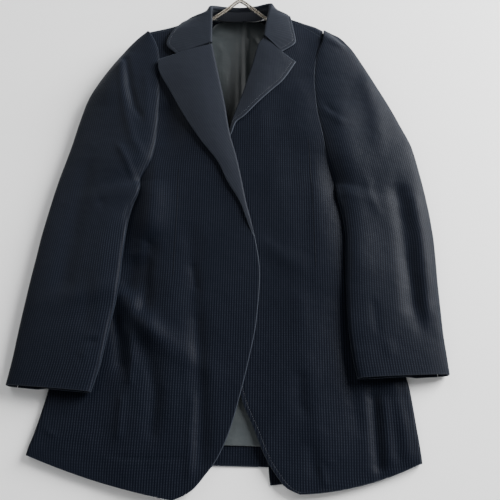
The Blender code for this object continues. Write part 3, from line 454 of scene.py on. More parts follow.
# %% Fronts
# inner x, y, outer x, y, hem bow, side wrap, shoulder drop
FRONT_RIGHT = [
    (-52, 48, -141, 16, 3.2, 0, 4.0),
    (-53, 30, -131, -4, 1, 0, 1.5),
    (-51, 10, -123, -28, 0, 0, 0.0),
    (-43.6, -13, -119.6, -60, 0, 0, 0.0),
    (-34.2, -47.5, -118, -100, 0, 0, 0.0),
    (-28.2, -81, -117.5, -132, 0, 0, 0.0),
    (-20, -120, -117.5, -162, 0, 0, 0.0),
    (-11.2, -168.5, -119.5, -198, 0, 0, 0.0),
    (0.4, -211, -127, -222, 0, 0, 0.0),
    (7.5, -243, -139, -240, 0, 0, 0.0),
    (12.5, -263, -165, -253, 0, 0, 0.0),
    (17.2, -285, -203, -261, 0, 0, 0.0),
    (18.9, -291, -205, -265, 0, 0.5, 0.0),
    (20.6, -297, -206, -269, 0, 1, 0.0),
    (31.5, -331, -202, -305, 0, 1, 0.0),
    (39.1, -387, -200, -360, 0, 1, 0.0),
    (35.5, -448.4, -209, -430, 0, 1, 0.0),
    (26, -503.8, -219, -490, 0, 1, 0.0),
    (16.8, -544.6, -228, -545, 0, 1, 0.0),
    (4.1, -591.7, -236.5, -590, 1, 1, 0.0),
    (-10.4, -625.7, -241, -608, 3, 1, 0.0),
    (-24.5, -645, -243, -615, 5, 1, 0.0),
    (-38, -661, -244, -620, 7, 1, 0.0),
    (-50.4, -668.8, -244.4, -622.5, 6.5, 1, 0.0),
    (-62, -673.5, -244.6, -624.5, 5, 1, 0.0),
]
FRONT_LEFT = [
    (54, 51, 134, 8, -9.5, 0, 4.0),
    (56, 31, 127, -12, -4, 0, 1.5),
    (51, 13, 120.5, -44, 0, 0, 0.0),
    (43.6, 2, 118.4, -70, 0, 0, 0.0),
    (30, -28, 119.5, -98, 0, 0, 0.0),
    (21.5, -70, 122, -128, 0, 0, 0.0),
    (10.6, -105.5, 127, -155, 0, 0, 0.0),
    (-6.4, -157, 132, -185, 0, 0, 0.0),
    (-14, -185, 136, -209, 0, 0, 0.0),
    (-18, -210, 147, -236, 0, 0, 0.0),
    (-20, -230, 172, -251, 0, 0, 0.0),
    (-20.5, -250, 203, -261, 0, 0, 0.0),
    (-20.5, -256, 205, -265, 0, 0.5, 0.0),
    (-20.5, -262, 206, -269, 0, 1, 0.0),
    (-20, -300, 202, -305, 0, 1, 0.0),
    (-15, -360, 200, -360, 0, 1, 0.0),
    (-6, -430, 209, -430, 0, 1, 0.0),
    (4, -490, 219, -490, 0, 1, 0.0),
    (17.1, -551, 230.5, -540, 0, 1, 0.0),
    (33.2, -587.5, 235, -585, 1, 1, 0.0),
    (47.7, -621.4, 237, -606, 2, 1, 0.0),
    (60, -641, 237.6, -614, 4, 1, 0.0),
    (74, -657, 238, -620, 5, 1, 0.0),
    (89.9, -664.2, 238.2, -626, 8, 1, 0.0),
]
print("front rows", len(FRONT_RIGHT), len(FRONT_LEFT))

# %% Lapels and collar
# lapel: roll x, y, outer x, y, bow of the row, lift of the middle, lift of the edge; the first row
# comes up to the collar at the gorge seam, and the last two thin out into the front's edge
LAPEL_RIGHT = [
    (-40.9, -11.7, -121.4, -42.6, 0, 2.0, 4.6),
    (-36.7, -32, -120.8, -54.4, 0, 2.4, 4.6),
    (-26, -80.6, -98.3, -100.3, 0, 2.8, 2.2),
    (-17.8, -119.3, -79.2, -135.8, 0, 2.6, 2.0),
    (-9, -168.1, -50.5, -181.1, 0, 1.8, 1.6),
    (2.6, -210.4, -23.1, -218, 0, 0.9, 1.2),
    (9.7, -242.5, -9.4, -247.2, 0, 0.5, 0.9),
    (18.2, -282.8, 10.4, -281.3, 0, 0.1, 0.5),
    (23.4, -302, 18.0, -302, 0, 0.0, 0.4),
    (27.6, -318, 24.6, -319, 0, 0.0, 0.2),
    (31.2, -331, 30.0, -331.5, 0, 0.0, 0.0),
]
LAPEL_LEFT = [
    (41.6, 2.9, 90.3, -42.5, 3.5, 1.8, 1.6),
    (33, -10, 85, -52, 2.0, 2.0, 1.8),
    (25.8, -41, 71.1, -75.4, 0, 2.0, 1.8),
    (17.1, -74.4, 50.8, -97.3, 0, 1.8, 1.6),
    (8.3, -105, 32.2, -117, 0, 1.2, 1.2),
    (0.1, -128.8, 12.3, -138.8, 0, 0.4, 0.8),
    (-5.2, -146, 0.4, -149, 0, 0.0, 0.5),
    (-9.4, -162, -5.0, -164, 0, 0.0, 0.2),
    (-12.2, -174, -9.6, -175, 0, 0.0, 0.0),
]
LAPEL_THINS = 34.0     # length over which its turn and its thickness run out
FOLD_END = 0.25        # what is left of them there: the turn's radius and the thickness
THIN_END = 1.0
# collar: roll x, y, z, leaf edge x, y, z, stand seam x, y, z, turn in degrees
COLLAR = [
    (-41.0, -11.0, 46.4, -94.0, -32.4, 42.0, -47.0, -12.0, 43.0, 180),
    (-41.3, 3.0, 47.0, -111.2, -9.5, 41.4, -50.0, 2.0, 43.2, 180),
    (-41.8, 20.0, 47.4, -104.6, 13.0, 40.8, -51.5, 18.0, 43.2, 180),
    (-42.3, 36.0, 47.0, -94.7, 29.4, 38.0, -52.2, 34.0, 42.2, 170),
    (-42.6, 43.0, 47.0, -89.0, 38.5, 34.8, -52.0, 42.0, 40.6, 160),
    (-43.0, 50.0, 46.8, -80.0, 48.0, 27.8, -51.8, 50.5, 37.4, 150),
    (-42.8, 60.0, 45.6, -64.0, 66.0, 14.0, -48.5, 61.5, 25.0, 120),
    (-36.0, 65.0, 39.5, -45.0, 84.0, 6.0, -38.0, 67.0, 13.0, 100),
    (-22.0, 68.0, 33.6, -24.0, 92.0, 2.6, -22.0, 69.2, 5.8, 90),
    (1.0, 69.4, 30.6, 1.0, 94.5, 1.9, 1.0, 70.6, 4.4, 90),
    (26.0, 69.6, 33.6, 28.0, 93.0, 2.6, 26.0, 70.0, 5.8, 90),
    (41.0, 69.0, 40.0, 50.0, 87.0, 6.0, 42.0, 69.0, 13.0, 100),
    (49.0, 66.5, 45.6, 70.0, 74.0, 14.0, 51.5, 63.5, 25.0, 120),
    (48.5, 55.0, 46.4, 81.0, 56.0, 28.0, 56.0, 52.0, 36.8, 150),
    (47.0, 47.0, 46.2, 82.6, 48.6, 37.4, 57.0, 44.0, 39.2, 160),
    (46.0, 40.0, 46.0, 84.0, 40.0, 39.4, 57.0, 36.0, 40.8, 170),
    (43.5, 24.0, 46.4, 87.0, 21.0, 40.0, 54.0, 20.0, 42.2, 180),
    (42.0, 12.0, 46.0, 90.4, -2.3, 39.8, 50.0, 9.0, 42.2, 180),
    (41.2, 3.8, 45.6, 68.0, -24.6, 40.0, 47.0, 3.0, 42.3, 180),
]
COLLAR_HANG = 32.0     # below this edge height the leaf hangs over the back instead of lying flat
COLLAR_STEEP = 18.0    # and this much lower still it drops straight from the roll
COLLAR_OVER = 55.0     # degrees that the turn goes on over the top there
COLLAR_ROUND = 0.8     # and how much wider it turns
STAND_GAP = 1.5
print("collar stations", len(COLLAR))

# %% Back and lining
# upper edge: x, floor y, floor handle, seam y, seam handle, seam z, seam drop
BACK_TOP = [
    (-141, 5, 26, 16, 10, 32.8, 0),
    (-120, 13, 28, 22, 11, 33.8, 0),
    (-95, 21, 26, 29, 11, 34.6, 0),
    (-70, 30, 22, 39, 9, 35.4, 2),
    (-54, 40, 16, 48.5, 6, 34.0, 8),
    (-48.5, 47, 12, 58.0, 4, 23.0, 12),
    (-38, 54, 8, 65.5, 3, 9.6, 6),
    (-22, 60, 5, 70.0, 0, 2.2, 1),
    (1, 62, 4, 71.4, -2, 1.1, 0),
    (26, 62, 4, 71.0, 0, 2.2, 1),
    (42, 56, 8, 68.0, 3, 9.6, 6),
    (51.5, 49, 12, 60.0, 4, 23.0, 12),
    (58, 40, 16, 50.0, 6, 34.0, 8),
    (75, 32, 26, 48.0, 8, 34.6, 2),
    (85, 28, 28, 44.5, 10, 34.4, 0),
    (106, 20, 28, 31.0, 19, 34.0, 0),
    (120, 13, 30, 20.5, 30, 33.4, 0),
    (134, 6, 32, 8.0, 36, 33.0, 0),
]
SEAM_FROM = 54.0
SEAM_BLEND = 12.0
BACK_MIDDLE = 1.0
BACK_NECK_Y = 62.0
BACK_TIP_RIGHT = -141.0
BACK_TIP_LEFT = 134.0
BACK_STATIONS = [-40, -95, -150, -205, -262, -270, -320, -380, -440, -500, -560, -620]
BACK_SEAM = [(71, 1.0), (-200, 10.0), (-400, 28.0), (-633, 53.0), (-660, 55.5)]
BACK_ARMHOLE = [(10, 140.0), (-40, 154.0), (-100, 168.0), (-170, 179.0), (-225, 187.0), (-263, 190.0)]
SIDE_LINE = [
    (-261, 203.0), (-269, 206.0), (-305, 202.0), (-360, 200.0), (-430, 209.0), (-490, 219.0),
    (-545, 228.9), (-590, 235.9), (-626, 240.4),
]
SIDE_SEAM_INSET = 16.8
UNDERARM_SEAM_Y = -263.5
BACK_HEM_RIGHT = [(53, -633), (0, -632.6), (-120, -629), (-229.8, -620)]
BACK_HEM_LEFT = [(56, -654), (120, -646), (180, -633), (223.4, -622)]
LINING_SIDES = [
    (10, -128, 124), (-40, -146, 146), (-100, -160, 160), (-262, -180, 180), (-360, -176, 178),
    (-545, -202, 206), (-610, -210, 214),
]
LINING_REACH = (0.66, 0.16)    # how far up the back's turn the upper rows start and end
LINING_STATIONS = [10, -30, -75, -120, -190, -270, -350, -430, -520, -600]
LINING_WIDTH_RIGHT = 129.0
LINING_WIDTH_LEFT = 123.0
LINING_DROP = 8.0
LINING_NECK = 34.0
LINING_NECK_BLEND = 16.0
LINING_HEM_RIGHT = -606.0
LINING_HEM_LEFT = -612.0
PLEAT_END = -300.0
PLEAT_FADE = 200.0
print("back stations", len(BACK_STATIONS))

# %% Sleeves
# inner x, y, outer x, y, height of the top near the outer edge, height of that edge, closed round
# the underside (0 no, 1 yes)
SLEEVE_RIGHT = [
    (-140.5, 14, -144.6, 20.8, 31.0, 17.0, 0),
    (-135, 6, -157.6, 10.6, 31.5, 16.5, 0),
    (-129.5, -5, -172.5, -6, 30.0, 15.0, 0),
    (-122, -28, -192.4, -35.5, 28.0, 13.5, 0),
    (-118.6, -60, -213.6, -70, 25.5, 12.5, 0),
    (-117.2, -95, -227.9, -103, 24.0, 12.0, 0),
    (-116.6, -140, -236.8, -147, 23.0, 11.5, 0),
    (-116.8, -175, -243, -186, 22.5, 11.0, 0),
    (-120.2, -206, -248.4, -214, 22.0, 10.5, 0),
    (-129, -227, -253, -237, 21.5, 10.5, 0),
    (-135, -243, -257.3, -262, 21.0, 10.0, 0),
    (-134.5, -255, -260.5, -285, 21.0, 10.0, 0.5),
    (-137, -267, -262.8, -302, 20.5, 10.0, 1),
    (-143, -284, -266.7, -334, 20.5, 9.5, 1),
    (-148, -312, -268.9, -362, 20.0, 9.5, 1),
    (-150.8, -360, -271.8, -395, 20.0, 9.0, 1),
    (-151.5, -410, -274.5, -432, 19.5, 9.0, 1),
    (-158.8, -465.7, -276.9, -470, 19.0, 8.5, 1),
    (-163.5, -505, -279, -508, 18.0, 8.0, 1),
    (-173, -548.5, -282.3, -540, 16.0, 8.0, 1),
]
SLEEVE_LEFT = [
    (134.0, 4, 135.6, 30, 31.5, 17.0, 0),
    (129, -9, 159.4, 18, 32.0, 16.5, 0),
    (124.5, -21, 175.8, -0.5, 31.0, 15.5, 0),
    (119.6, -46, 196.6, -37, 28.0, 14.0, 0),
    (117.4, -76, 214, -72, 26.0, 12.5, 0),
    (119, -107, 231.8, -109, 24.0, 12.0, 0),
    (122.6, -137, 246.2, -144, 23.0, 11.5, 0),
    (129.2, -171, 260.4, -182, 22.5, 11.0, 0),
    (134.2, -203, 267.1, -219, 22.0, 10.5, 0),
    (140, -226, 271.7, -251, 21.5, 10.5, 0),
    (144, -242, 274.9, -278, 21.0, 10.0, 0),
    (146, -254, 276.3, -293, 21.0, 10.0, 0.5),
    (148.5, -267, 277.3, -308, 20.5, 10.0, 1),
    (156, -303, 278.6, -335, 20.5, 9.5, 1),
    (158, -330, 278.4, -365, 20.0, 9.5, 1),
    (156.6, -365, 277.9, -395, 20.0, 9.0, 1),
    (155.8, -407, 278, -425, 19.5, 9.0, 1),
    (156.4, -455, 278.3, -462, 19.0, 8.5, 1),
    (159.4, -493, 280, -492, 18.0, 8.0, 1),
    (165, -526, 281.5, -518, 16.0, 8.0, 1),
]
SLEEVE_BULGE = 2.0
SLEEVE_CLEARANCE = 1.4
SLEEVE_SEAM_IN = 0.10
SLEEVE_SEAM_OUT = 0.90
SLEEVE_TOP_SHAPE = 4.0     # how square the upper and lower edges of the section are
SLEEVE_UNDER_SHAPE = 6.0
UNDERSIDE_FROM = 0.42      # limits of the underside's start at the back armhole
UNDERSIDE_TO = 0.80
UNDERSIDE_GUESS = 0.6
ARMHOLE_CLEARANCE = 0.8
STEP_OUT = 19.0
STEP_WIDTH = 21.0
ARMHOLE_FOOT = (139.0, -240.0)
ARMHOLE_SLOPE = 21.0 / 64.0
UNDERARM_RAMP = 14.0
UNDERARM_EARLY = 11.0
UNDERARM_LIFT = 2.6
UNDERARM_Y = -266.0
print("sleeve rows", len(SLEEVE_RIGHT), len(SLEEVE_LEFT))

# %% Hanger
WIRE_RADIUS = 1.4
WIRE_SPACING = 3.3
HANGER_RISE = 0.31
HANGER_BASE = 14.75
WIRE_PATH = [
    (-136, 4), (-128, 12), (-100, 27), (-72, 37.5), (-48, 49.5), (-20, 67), (-4, 79.5), (1, 82),
    (6, 80), (22, 69), (48, 51), (72, 38.5), (98, 26.5), (122, 14), (130, 4),
]
HOOK_START = (1.0, 82.8)
HOOK_RADIUS = 19.0
HOOK_SHANK = 26.5
HOOK_WIRE = 1.7
print("wire", 2 * WIRE_RADIUS, "mm thick")

# %% [markdown]
# ## Curves through the draft
#
# Between the drafted rows the cloth runs smoothly and never swings past a drafted value, which a
# monotone cubic gives. A plain spline would overshoot near the notch and pull the lapel out of
# shape.

# %% Smooth curves
def monotone(xs, ys, x):
    """Monotone cubic through the points (xs, ys) at x."""
    xs = np.asarray(xs, float)
    ys = np.asarray(ys, float)
    x = np.clip(np.asarray(x, float), xs[0], xs[-1])
    h = np.diff(xs)
    d = np.diff(ys) / h
    m = np.zeros_like(ys)
    m[0] = d[0]
    m[-1] = d[-1]
    same = d[:-1] * d[1:] > 0
    w1 = 2 * h[1:] + h[:-1]
    w2 = h[1:] + 2 * h[:-1]
    before = np.where(same, d[:-1], 1.0)
    after = np.where(same, d[1:], 1.0)
    m[1:-1] = np.where(same, (w1 + w2) / (w1 / before + w2 / after), 0.0)
    k = np.clip(np.searchsorted(xs, x, side="right") - 1, 0, len(xs) - 2)
    t = (x - xs[k]) / h[k]
    a = (1 + 2 * t) * (1 - t) ** 2
    b = t * (1 - t) ** 2
    c = t * t * (3 - 2 * t)
    e = t * t * (t - 1)
    return a * ys[k] + b * h[k] * m[k] + c * ys[k + 1] + e * h[k] * m[k + 1]


def by_height(table, y):
    """Second column of a table whose first column is y."""
    rows = sorted(table)
    return monotone([r[0] for r in rows], [r[1] for r in rows], y)


def smooth(t):
    t = np.clip(t, 0.0, 1.0)
    return t * t * (3 - 2 * t)


def run_along(points):
    """Distance of each point of a line from its first one, along the line."""
    return np.concatenate([[0.0], np.cumsum(np.linalg.norm(np.diff(points, axis=0), axis=1))])


def table_rows(table, step, width=4):
    """Rows of a table with further rows between them, none more than a step apart."""
    data = np.array(table, float)
    along = run_along(data[:, :width])
    count = max(2, math.ceil(along[-1] / step))
    at = np.linspace(0.0, along[-1], count + 1)
    return np.stack([monotone(along, data[:, c], at) for c in range(data.shape[1])], axis=1)


print("rows of the right front at the draft's step:", len(table_rows(FRONT_RIGHT, DRAFT_STEP)))

# %% [markdown]
# ## Creases
#
# Nobody irons a jacket that has just been laid down: the sleeves fold where the elbows were, the
# front sags over its own edge, and pressing leaves soft dents. Each crease below was placed on
# the draft, as a line of points with a half width and a height, positive for a ridge and
# negative for a trough. It fades out at both ends. The hidden side of each sleeve has shallower
# creases of the same kind.

# %% Crease lines
CREASES_FRONT_RIGHT = [
    ([(-102, -110), (-100, -190)], 22, -4.5),
    ([(-118, -245), (-115, -335)], 24, 7.0),
    ([(-133, -356), (-135, -390), (-142, -418)], 16, -6.0),
    ([(-113, -350), (-108, -372), (-110, -400)], 7, 1.6),
    ([(-160, -412), (-134, -432), (-108, -456), (-84, -486)], 13, 2.5),
    ([(-156, -440), (-145, -479), (-138, -521)], 8, -4.4),
    ([(-130, -466), (-124, -506), (-124, -538)], 4.5, 1.8),
    ([(-117, -472), (-104, -505), (-91, -550), (-93, -605)], 9, -2.6),
    ([(-54, -370), (-46, -411)], 5, -1.5),
    ([(-45, -440), (-39, -485), (-35, -531), (-31, -592), (-30, -639)], 9, -1.9),
    ([(-133, -550), (-133, -605)], 5, 1.6),
    ([(-43, -549), (-44, -600), (-42, -650)], 5, 1.4),
    ([(-135, -625), (-92, -627), (-50, -625)], 2.6, -0.55),
    ([(-228, -594), (-210, -601)], 3, 0.8),
    ([(-119, -335), (-117, -345)], 5, -1.5),
]
CREASES_FRONT_LEFT = [
    ([(98, -70), (104, -140), (112, -200)], 30, 4.5),
    ([(146, -250), (150, -330), (156, -420)], 30, 5.0),
    ([(92, -515), (92, -553), (100, -577)], 8, -1.6),
    ([(197, -545), (198, -590), (200, -632)], 8, 2.6),
    ([(184, -540), (184, -590), (186, -640)], 7, -3.5),
    ([(103, -601), (109, -647)], 8, -1.4),
    ([(115, -630), (121, -655)], 4, 1.0),
    ([(121, -628), (132, -625)], 3, 0.6),
    ([(40, -330), (66, -352)], 6, 0.6),
    ([(150, -480), (158, -540), (166, -600)], 9, -1.4),
]
CREASES_SLEEVE_RIGHT = [
    ([(-174, -32), (-163, -86), (-152, -123), (-139, -145)], 5.5, -2.8),
    ([(-181, -38), (-172, -96), (-162, -142), (-149, -182), (-132, -206)], 6.5, 2.2),
    ([(-140, -61), (-133, -117), (-132, -153)], 6, 1.3),
    ([(-174, -20), (-186, -66), (-196, -124)], 24, 6.0),
    ([(-213, -210), (-219, -292), (-226, -420)], 15, -3.0),
    ([(-168, -290), (-172, -345), (-176, -420)], 14, 1.4),
    ([(-170, -190), (-157, -214), (-144, -241), (-134, -262)], 4.5, 2.2),
    ([(-133, -260), (-138, -283), (-143, -314), (-149, -338)], 4, 1.6),
    ([(-144, -284), (-147, -295), (-150, -310)], 4, -2.4),
    ([(-193, -400), (-188, -428), (-186, -469)], 11, -1.2),
    ([(-189, -277), (-184, -287)], 6, -1.2),
    ([(-186, -478), (-164, -476)], 4.5, 1.1),
    ([(-181, -486), (-168, -483)], 4, -1.4),
    ([(-185, -495), (-184, -508)], 6, 1.1),
    ([(-232, -150), (-240, -240), (-246, -330)], 12, -1.0),
]
CREASES_SLEEVE_LEFT = [
    ([(134, 8), (150, -1), (168, -10)], 5, 1.4),
    ([(142, 24), (158, 11), (172, -5)], 7, -4.0),
    ([(198, -54), (204, -98), (211, -138), (209, -191)], 15, 2.0),
    ([(125, -123), (141, -135), (160, -153)], 6, 1.3),
    ([(131, -113), (149, -135)], 5, -1.4),
    ([(232, -245), (237, -310), (240, -390), (239, -445)], 12, -4.2),
    ([(256, -260), (261, -325), (262, -400), (259, -450)], 10, 3.2),
    ([(150, -110), (156, -190), (166, -290), (168, -400)], 26, 4.0),
    ([(188, -237), (193, -269), (206, -301)], 7, 0.9),
    ([(149, -249), (154, -280)], 6, -2.0),
    ([(236, -350), (240, -380), (246, -430), (249, -469)], 9, -1.5),
    ([(269, -362), (273, -420), (272, -474)], 6, 1.2),
    ([(187, -421), (190, -449), (193, -470)], 6, -1.0),
    ([(159, -489), (169, -494)], 5, 1.0),
    ([(202, -475), (209, -502)], 7, 0.9),
]
CREASES_UNDER_RIGHT = [
    ([(-170, -300), (-176, -380)], 9, 0.9),
    ([(-225, -180), (-232, -290), (-240, -360)], 11, 0.8),
    ([(-238, -420), (-222, -470)], 8, 0.8),
]
CREASES_UNDER_LEFT = [
    ([(176, -310), (182, -400)], 9, 0.9),
    ([(236, -200), (246, -300)], 11, 0.8),
    ([(236, -400), (248, -470)], 8, 0.8),
]


CREASE_FADE = 2.4      # half widths over which a crease fades out at each end
CREASE_START = 0.35    # how much of that fade is already over at its first point
FOLD_FADE = 1.5        # half widths over which a large fold fades out


def crease_height(creases, x, y):
    """Height that a list of creases adds at the points x, y."""
    x = np.asarray(x, float)
    y = np.asarray(y, float)
    total = np.zeros(np.broadcast(x, y).shape)
    for points, half, height in creases:
        points = np.array(points, float)
        steps = np.diff(points, axis=0)
        lengths = np.hypot(steps[:, 0], steps[:, 1])
        begun = np.concatenate([[0.0], np.cumsum(lengths)])
        nearest = np.full(total.shape, 1e9)
        where = np.zeros(total.shape)
        for start, move, length, before in zip(points, steps, lengths, begun):
            t = ((x - start[0]) * move[0] + (y - start[1]) * move[1]) / length ** 2
            t = np.clip(t, 0.0, 1.0)
            away = np.hypot(x - start[0] - t * move[0], y - start[1] - t * move[1])
            closer = away < nearest
            nearest = np.where(closer, away, nearest)
            where = np.where(closer, before + t * length, where)
        fade = min(CREASE_FADE * half, 0.5 * begun[-1])
        ends = smooth(where / fade + CREASE_START) * smooth((begun[-1] - where) / fade + CREASE_START)
        total += height * ends * np.exp(-(nearest / half) ** 2)
    return total


def fold_height(folds, x, y):
    """Sum of the large folds at the points x, y."""
    total = 0.0
    for x0, y0, x1, y1, half, height in folds:
        length = math.hypot(x1 - x0, y1 - y0)
        ux = (x1 - x0) / length
        uy = (y1 - y0) / length
        along = (x - x0) * ux + (y - y0) * uy
        across = -(x - x0) * uy + (y - y0) * ux
        beyond = np.maximum(0.0, np.maximum(-along, along - length))
        total = total + height * np.exp(-(across / half) ** 2 - (beyond / (FOLD_FADE * half)) ** 2)
    return total


print("creases placed:", sum(len(c) for c in (
    CREASES_FRONT_RIGHT, CREASES_FRONT_LEFT, CREASES_SLEEVE_RIGHT, CREASES_SLEEVE_LEFT)))

# %% [markdown]
# ## Height of the fronts
#
# The hanger and the layers inside hold the chest up, and the cloth falls away to the side folds
# and the hem. The left front lies lower wherever the right one covers it. Later pieces rest on
# these heights: the lapels lie on the fronts and the sleeves lie on the body's sides.

# %% Heights of the two fronts
def crown(x, y):
    height = by_height(CROWN, y)
    height = height - by_height(CHEST_FALL, y) * smooth((abs(x) - CHEST_FROM) / CHEST_WIDTH)
    to_side = smooth((abs(x) - FALL_INNER) / (FALL_OUTER - FALL_INNER))
    to_side = to_side * smooth((FALL_TOP - y) / FALL_LENGTH)
    return height + (by_height(SIDE_HEIGHT, y) - height) * to_side


def inner_x(table, y):
    """x in the first column of a front's or lapel's table, at the height y."""
    return by_height([(row[1], row[0]) for row in table], y)


def front_right_z(x, y):
    return crown(x, y) + fold_height(FOLDS_RIGHT, x, y)


def front_left_z(x, y):
    under = UNDER_DROP * (1.0 - smooth((x - UNDER_DROP_FROM) / UNDER_DROP_WIDTH))
    covered = smooth(1.0 - (x - inner_x(FRONT_RIGHT, y) - OVERLAP_MARGIN) / OVERLAP_WIDTH)
    return crown(x, y) + fold_height(FOLDS_LEFT, x, y) - under - OVERLAP_DROP * covered


def creased_right_z(x, y):
    return front_right_z(x, y) + crease_height(CREASES_FRONT_RIGHT, x, y)


def creased_left_z(x, y):
    return front_left_z(x, y) + crease_height(CREASES_FRONT_LEFT, x, y)


def lapel_share(table, y):
    """1 along a lapel, falling to 0 where it runs out."""
    return smooth((y - table[-1][1]) / LAPEL_THINS)


print("chest", round(float(front_right_z(-60.0, -100.0)), 1), "mm up")

# %% [markdown]
# ## From a draft to a piece of cloth
#
# Every piece is drawn as a grid: rows down the jacket, columns across it. The grid is first
# spaced again, so that it gets extra lines close to its edges and at tight turns, and even ones
# elsewhere. Then it is given two faces, half a thickness each side, that close in a round rim.
# Each point also carries its place on the flat cloth in metres for the stripe, and its distance
# from the edge for the paler rim, a painted highlight. A solidify modifier would make the same
# shell, but not the round rim, the stitched edge that dips and swells again, or the flat coordinates.

# %% Grid helpers
SIDES = ("first", "last", "top", "hem")
EDGE_LINES = [0.0, 0.12, 0.38, 0.75, 1.2, 2.0]
STITCH_LINES = [0.0, 0.12, 0.38, 0.75, 1.2, 2.0, 2.9, 3.8, 4.6, 5.3, 6.0, 6.9, 8.2]
STITCH_INSET = 5.3
EDGE_SHARE = 0.46      # most of a short line that the extra lines at one end may take
TURN_MEASURE = 7.0     # length in mm that one radian of turn counts as


def respaced(grid, near_start, near_end, step, axis, turning=TURN_MEASURE):
    """The grid with set distances from both ends of each line and even steps between them."""
    data = np.moveaxis(np.asarray(grid, float), axis, 1)
    legs = np.diff(data[:, :, :3], axis=1)
    length = np.linalg.norm(legs, axis=2)
    unit = legs / np.maximum(length, 1e-9)[:, :, None]
    cosine = np.clip((unit[:, :-1] * unit[:, 1:]).sum(axis=2), -1.0, 1.0)
    turn = np.zeros_like(length)
    turn[:, 1:] = np.where(np.minimum(length[:, 1:], length[:, :-1]) > 1e-4, np.arccos(cosine), 0.0)
    zero = np.zeros((len(data), 1))
    run = np.hstack([zero, np.cumsum(length, axis=1)])
    measure = np.hstack([zero, np.cumsum(length + turning * turn, axis=1)])
    total = np.median(measure[:, -1])
    count = max(3, int(round((total - near_start[-1] - near_end[-1]) / step)))
    index = np.arange(data.shape[1])
    result = []
    for line, lengths, measures in zip(data, run, measure):
        room = lengths[-1]
        scale = min(1.0, EDGE_SHARE * room / max(near_start[-1], near_end[-1], 1e-9))
        first = np.interp(np.array(near_start) * scale, lengths, index)
        last = np.interp(room - np.array(near_end)[::-1] * scale, lengths, index)
        m0 = np.interp(first[-1], index, measures)
        m1 = np.interp(last[0], index, measures)
        between = np.interp(m0 + (m1 - m0) * np.arange(1, count) / count, measures, index)
        at = np.concatenate([first, between, last])
        low = np.clip(np.floor(at).astype(int), 0, data.shape[1] - 2)
        share = (at - low)[:, None]
        result.append(line[low] * (1 - share) + line[low + 1] * share)
    return np.moveaxis(np.array(result), 1, axis)


def with_edges(grid, step, stitched=()):
    """The grid with extra lines close to its four sides, and more at the stitched ones."""
    first, last, top, hem = [STITCH_LINES if side in stitched else EDGE_LINES for side in SIDES]
    grid = respaced(grid, first, last, step, 1)
    return respaced(grid, top, hem, step, 0)


def line_length(grid, axis):
    legs = np.linalg.norm(np.diff(grid[:, :, :3], axis=axis), axis=2)
    run = np.cumsum(legs, axis=axis)
    pad = [(1, 0) if a == axis else (0, 0) for a in range(2)]
    return np.pad(run, pad)


def edge_distance(grid, sides):
    """Distance of each point from the named sides: top, hem, first or last column."""
    down = line_length(grid, 0)
    across = line_length(grid, 1)
    found = {
        "top": down,
        "hem": down[-1:] - down,
        "first": across,
        "last": across[:, -1:] - across,
    }
    return np.minimum.reduce([found[side] for side in sides])


def grid_normals(points):
    across = np.gradient(points, axis=1)
    down = np.gradient(points, axis=0)
    normal = np.cross(down, across)
    return normal / np.maximum(np.linalg.norm(normal, axis=2, keepdims=True), 1e-9)


def placed(points):
    points = np.asarray(points, float).copy()
    points[..., 0] -= CENTRE_X
    points[..., 1] -= CENTRE_Y
    return points * MM


print("edge lines at", EDGE_LINES, "mm")


# %% Shell of cloth
HEM_DIP = 0.14         # how far the stitches pull the cloth down
HEM_SWELL = 0.10       # and how far it rises between them and the rim
SWELL_INSET = 2.6
SWELL_WIDTH = 1.5
SEAM_RIM = 0.5         # how round a seamed edge is
RIM_END = 0.10         # share of the thickness that the end of a round rim keeps
SEAM_KEPT = 20.0       # distance from the rim that a sewn gorge seam counts as


def seam_share(grid, gorge):
    """1 near the rows that are sewn into the gorge, where |x| is under the given value."""
    down = line_length(grid, 0)
    near = np.minimum(down, down[-1:] - down) < edge_distance(grid, ("first", "last"))
    return np.where(near & (abs(grid[:, :, 0]) < gorge), 1.0, 0.0)


def with_flat_cloth(grid, u, v):
    """Adds the flat cloth coordinates, in metres, to a grid of points in millimetres."""
    flat = np.stack([u, v], axis=2) * MM
    return np.concatenate([grid, flat], axis=2)


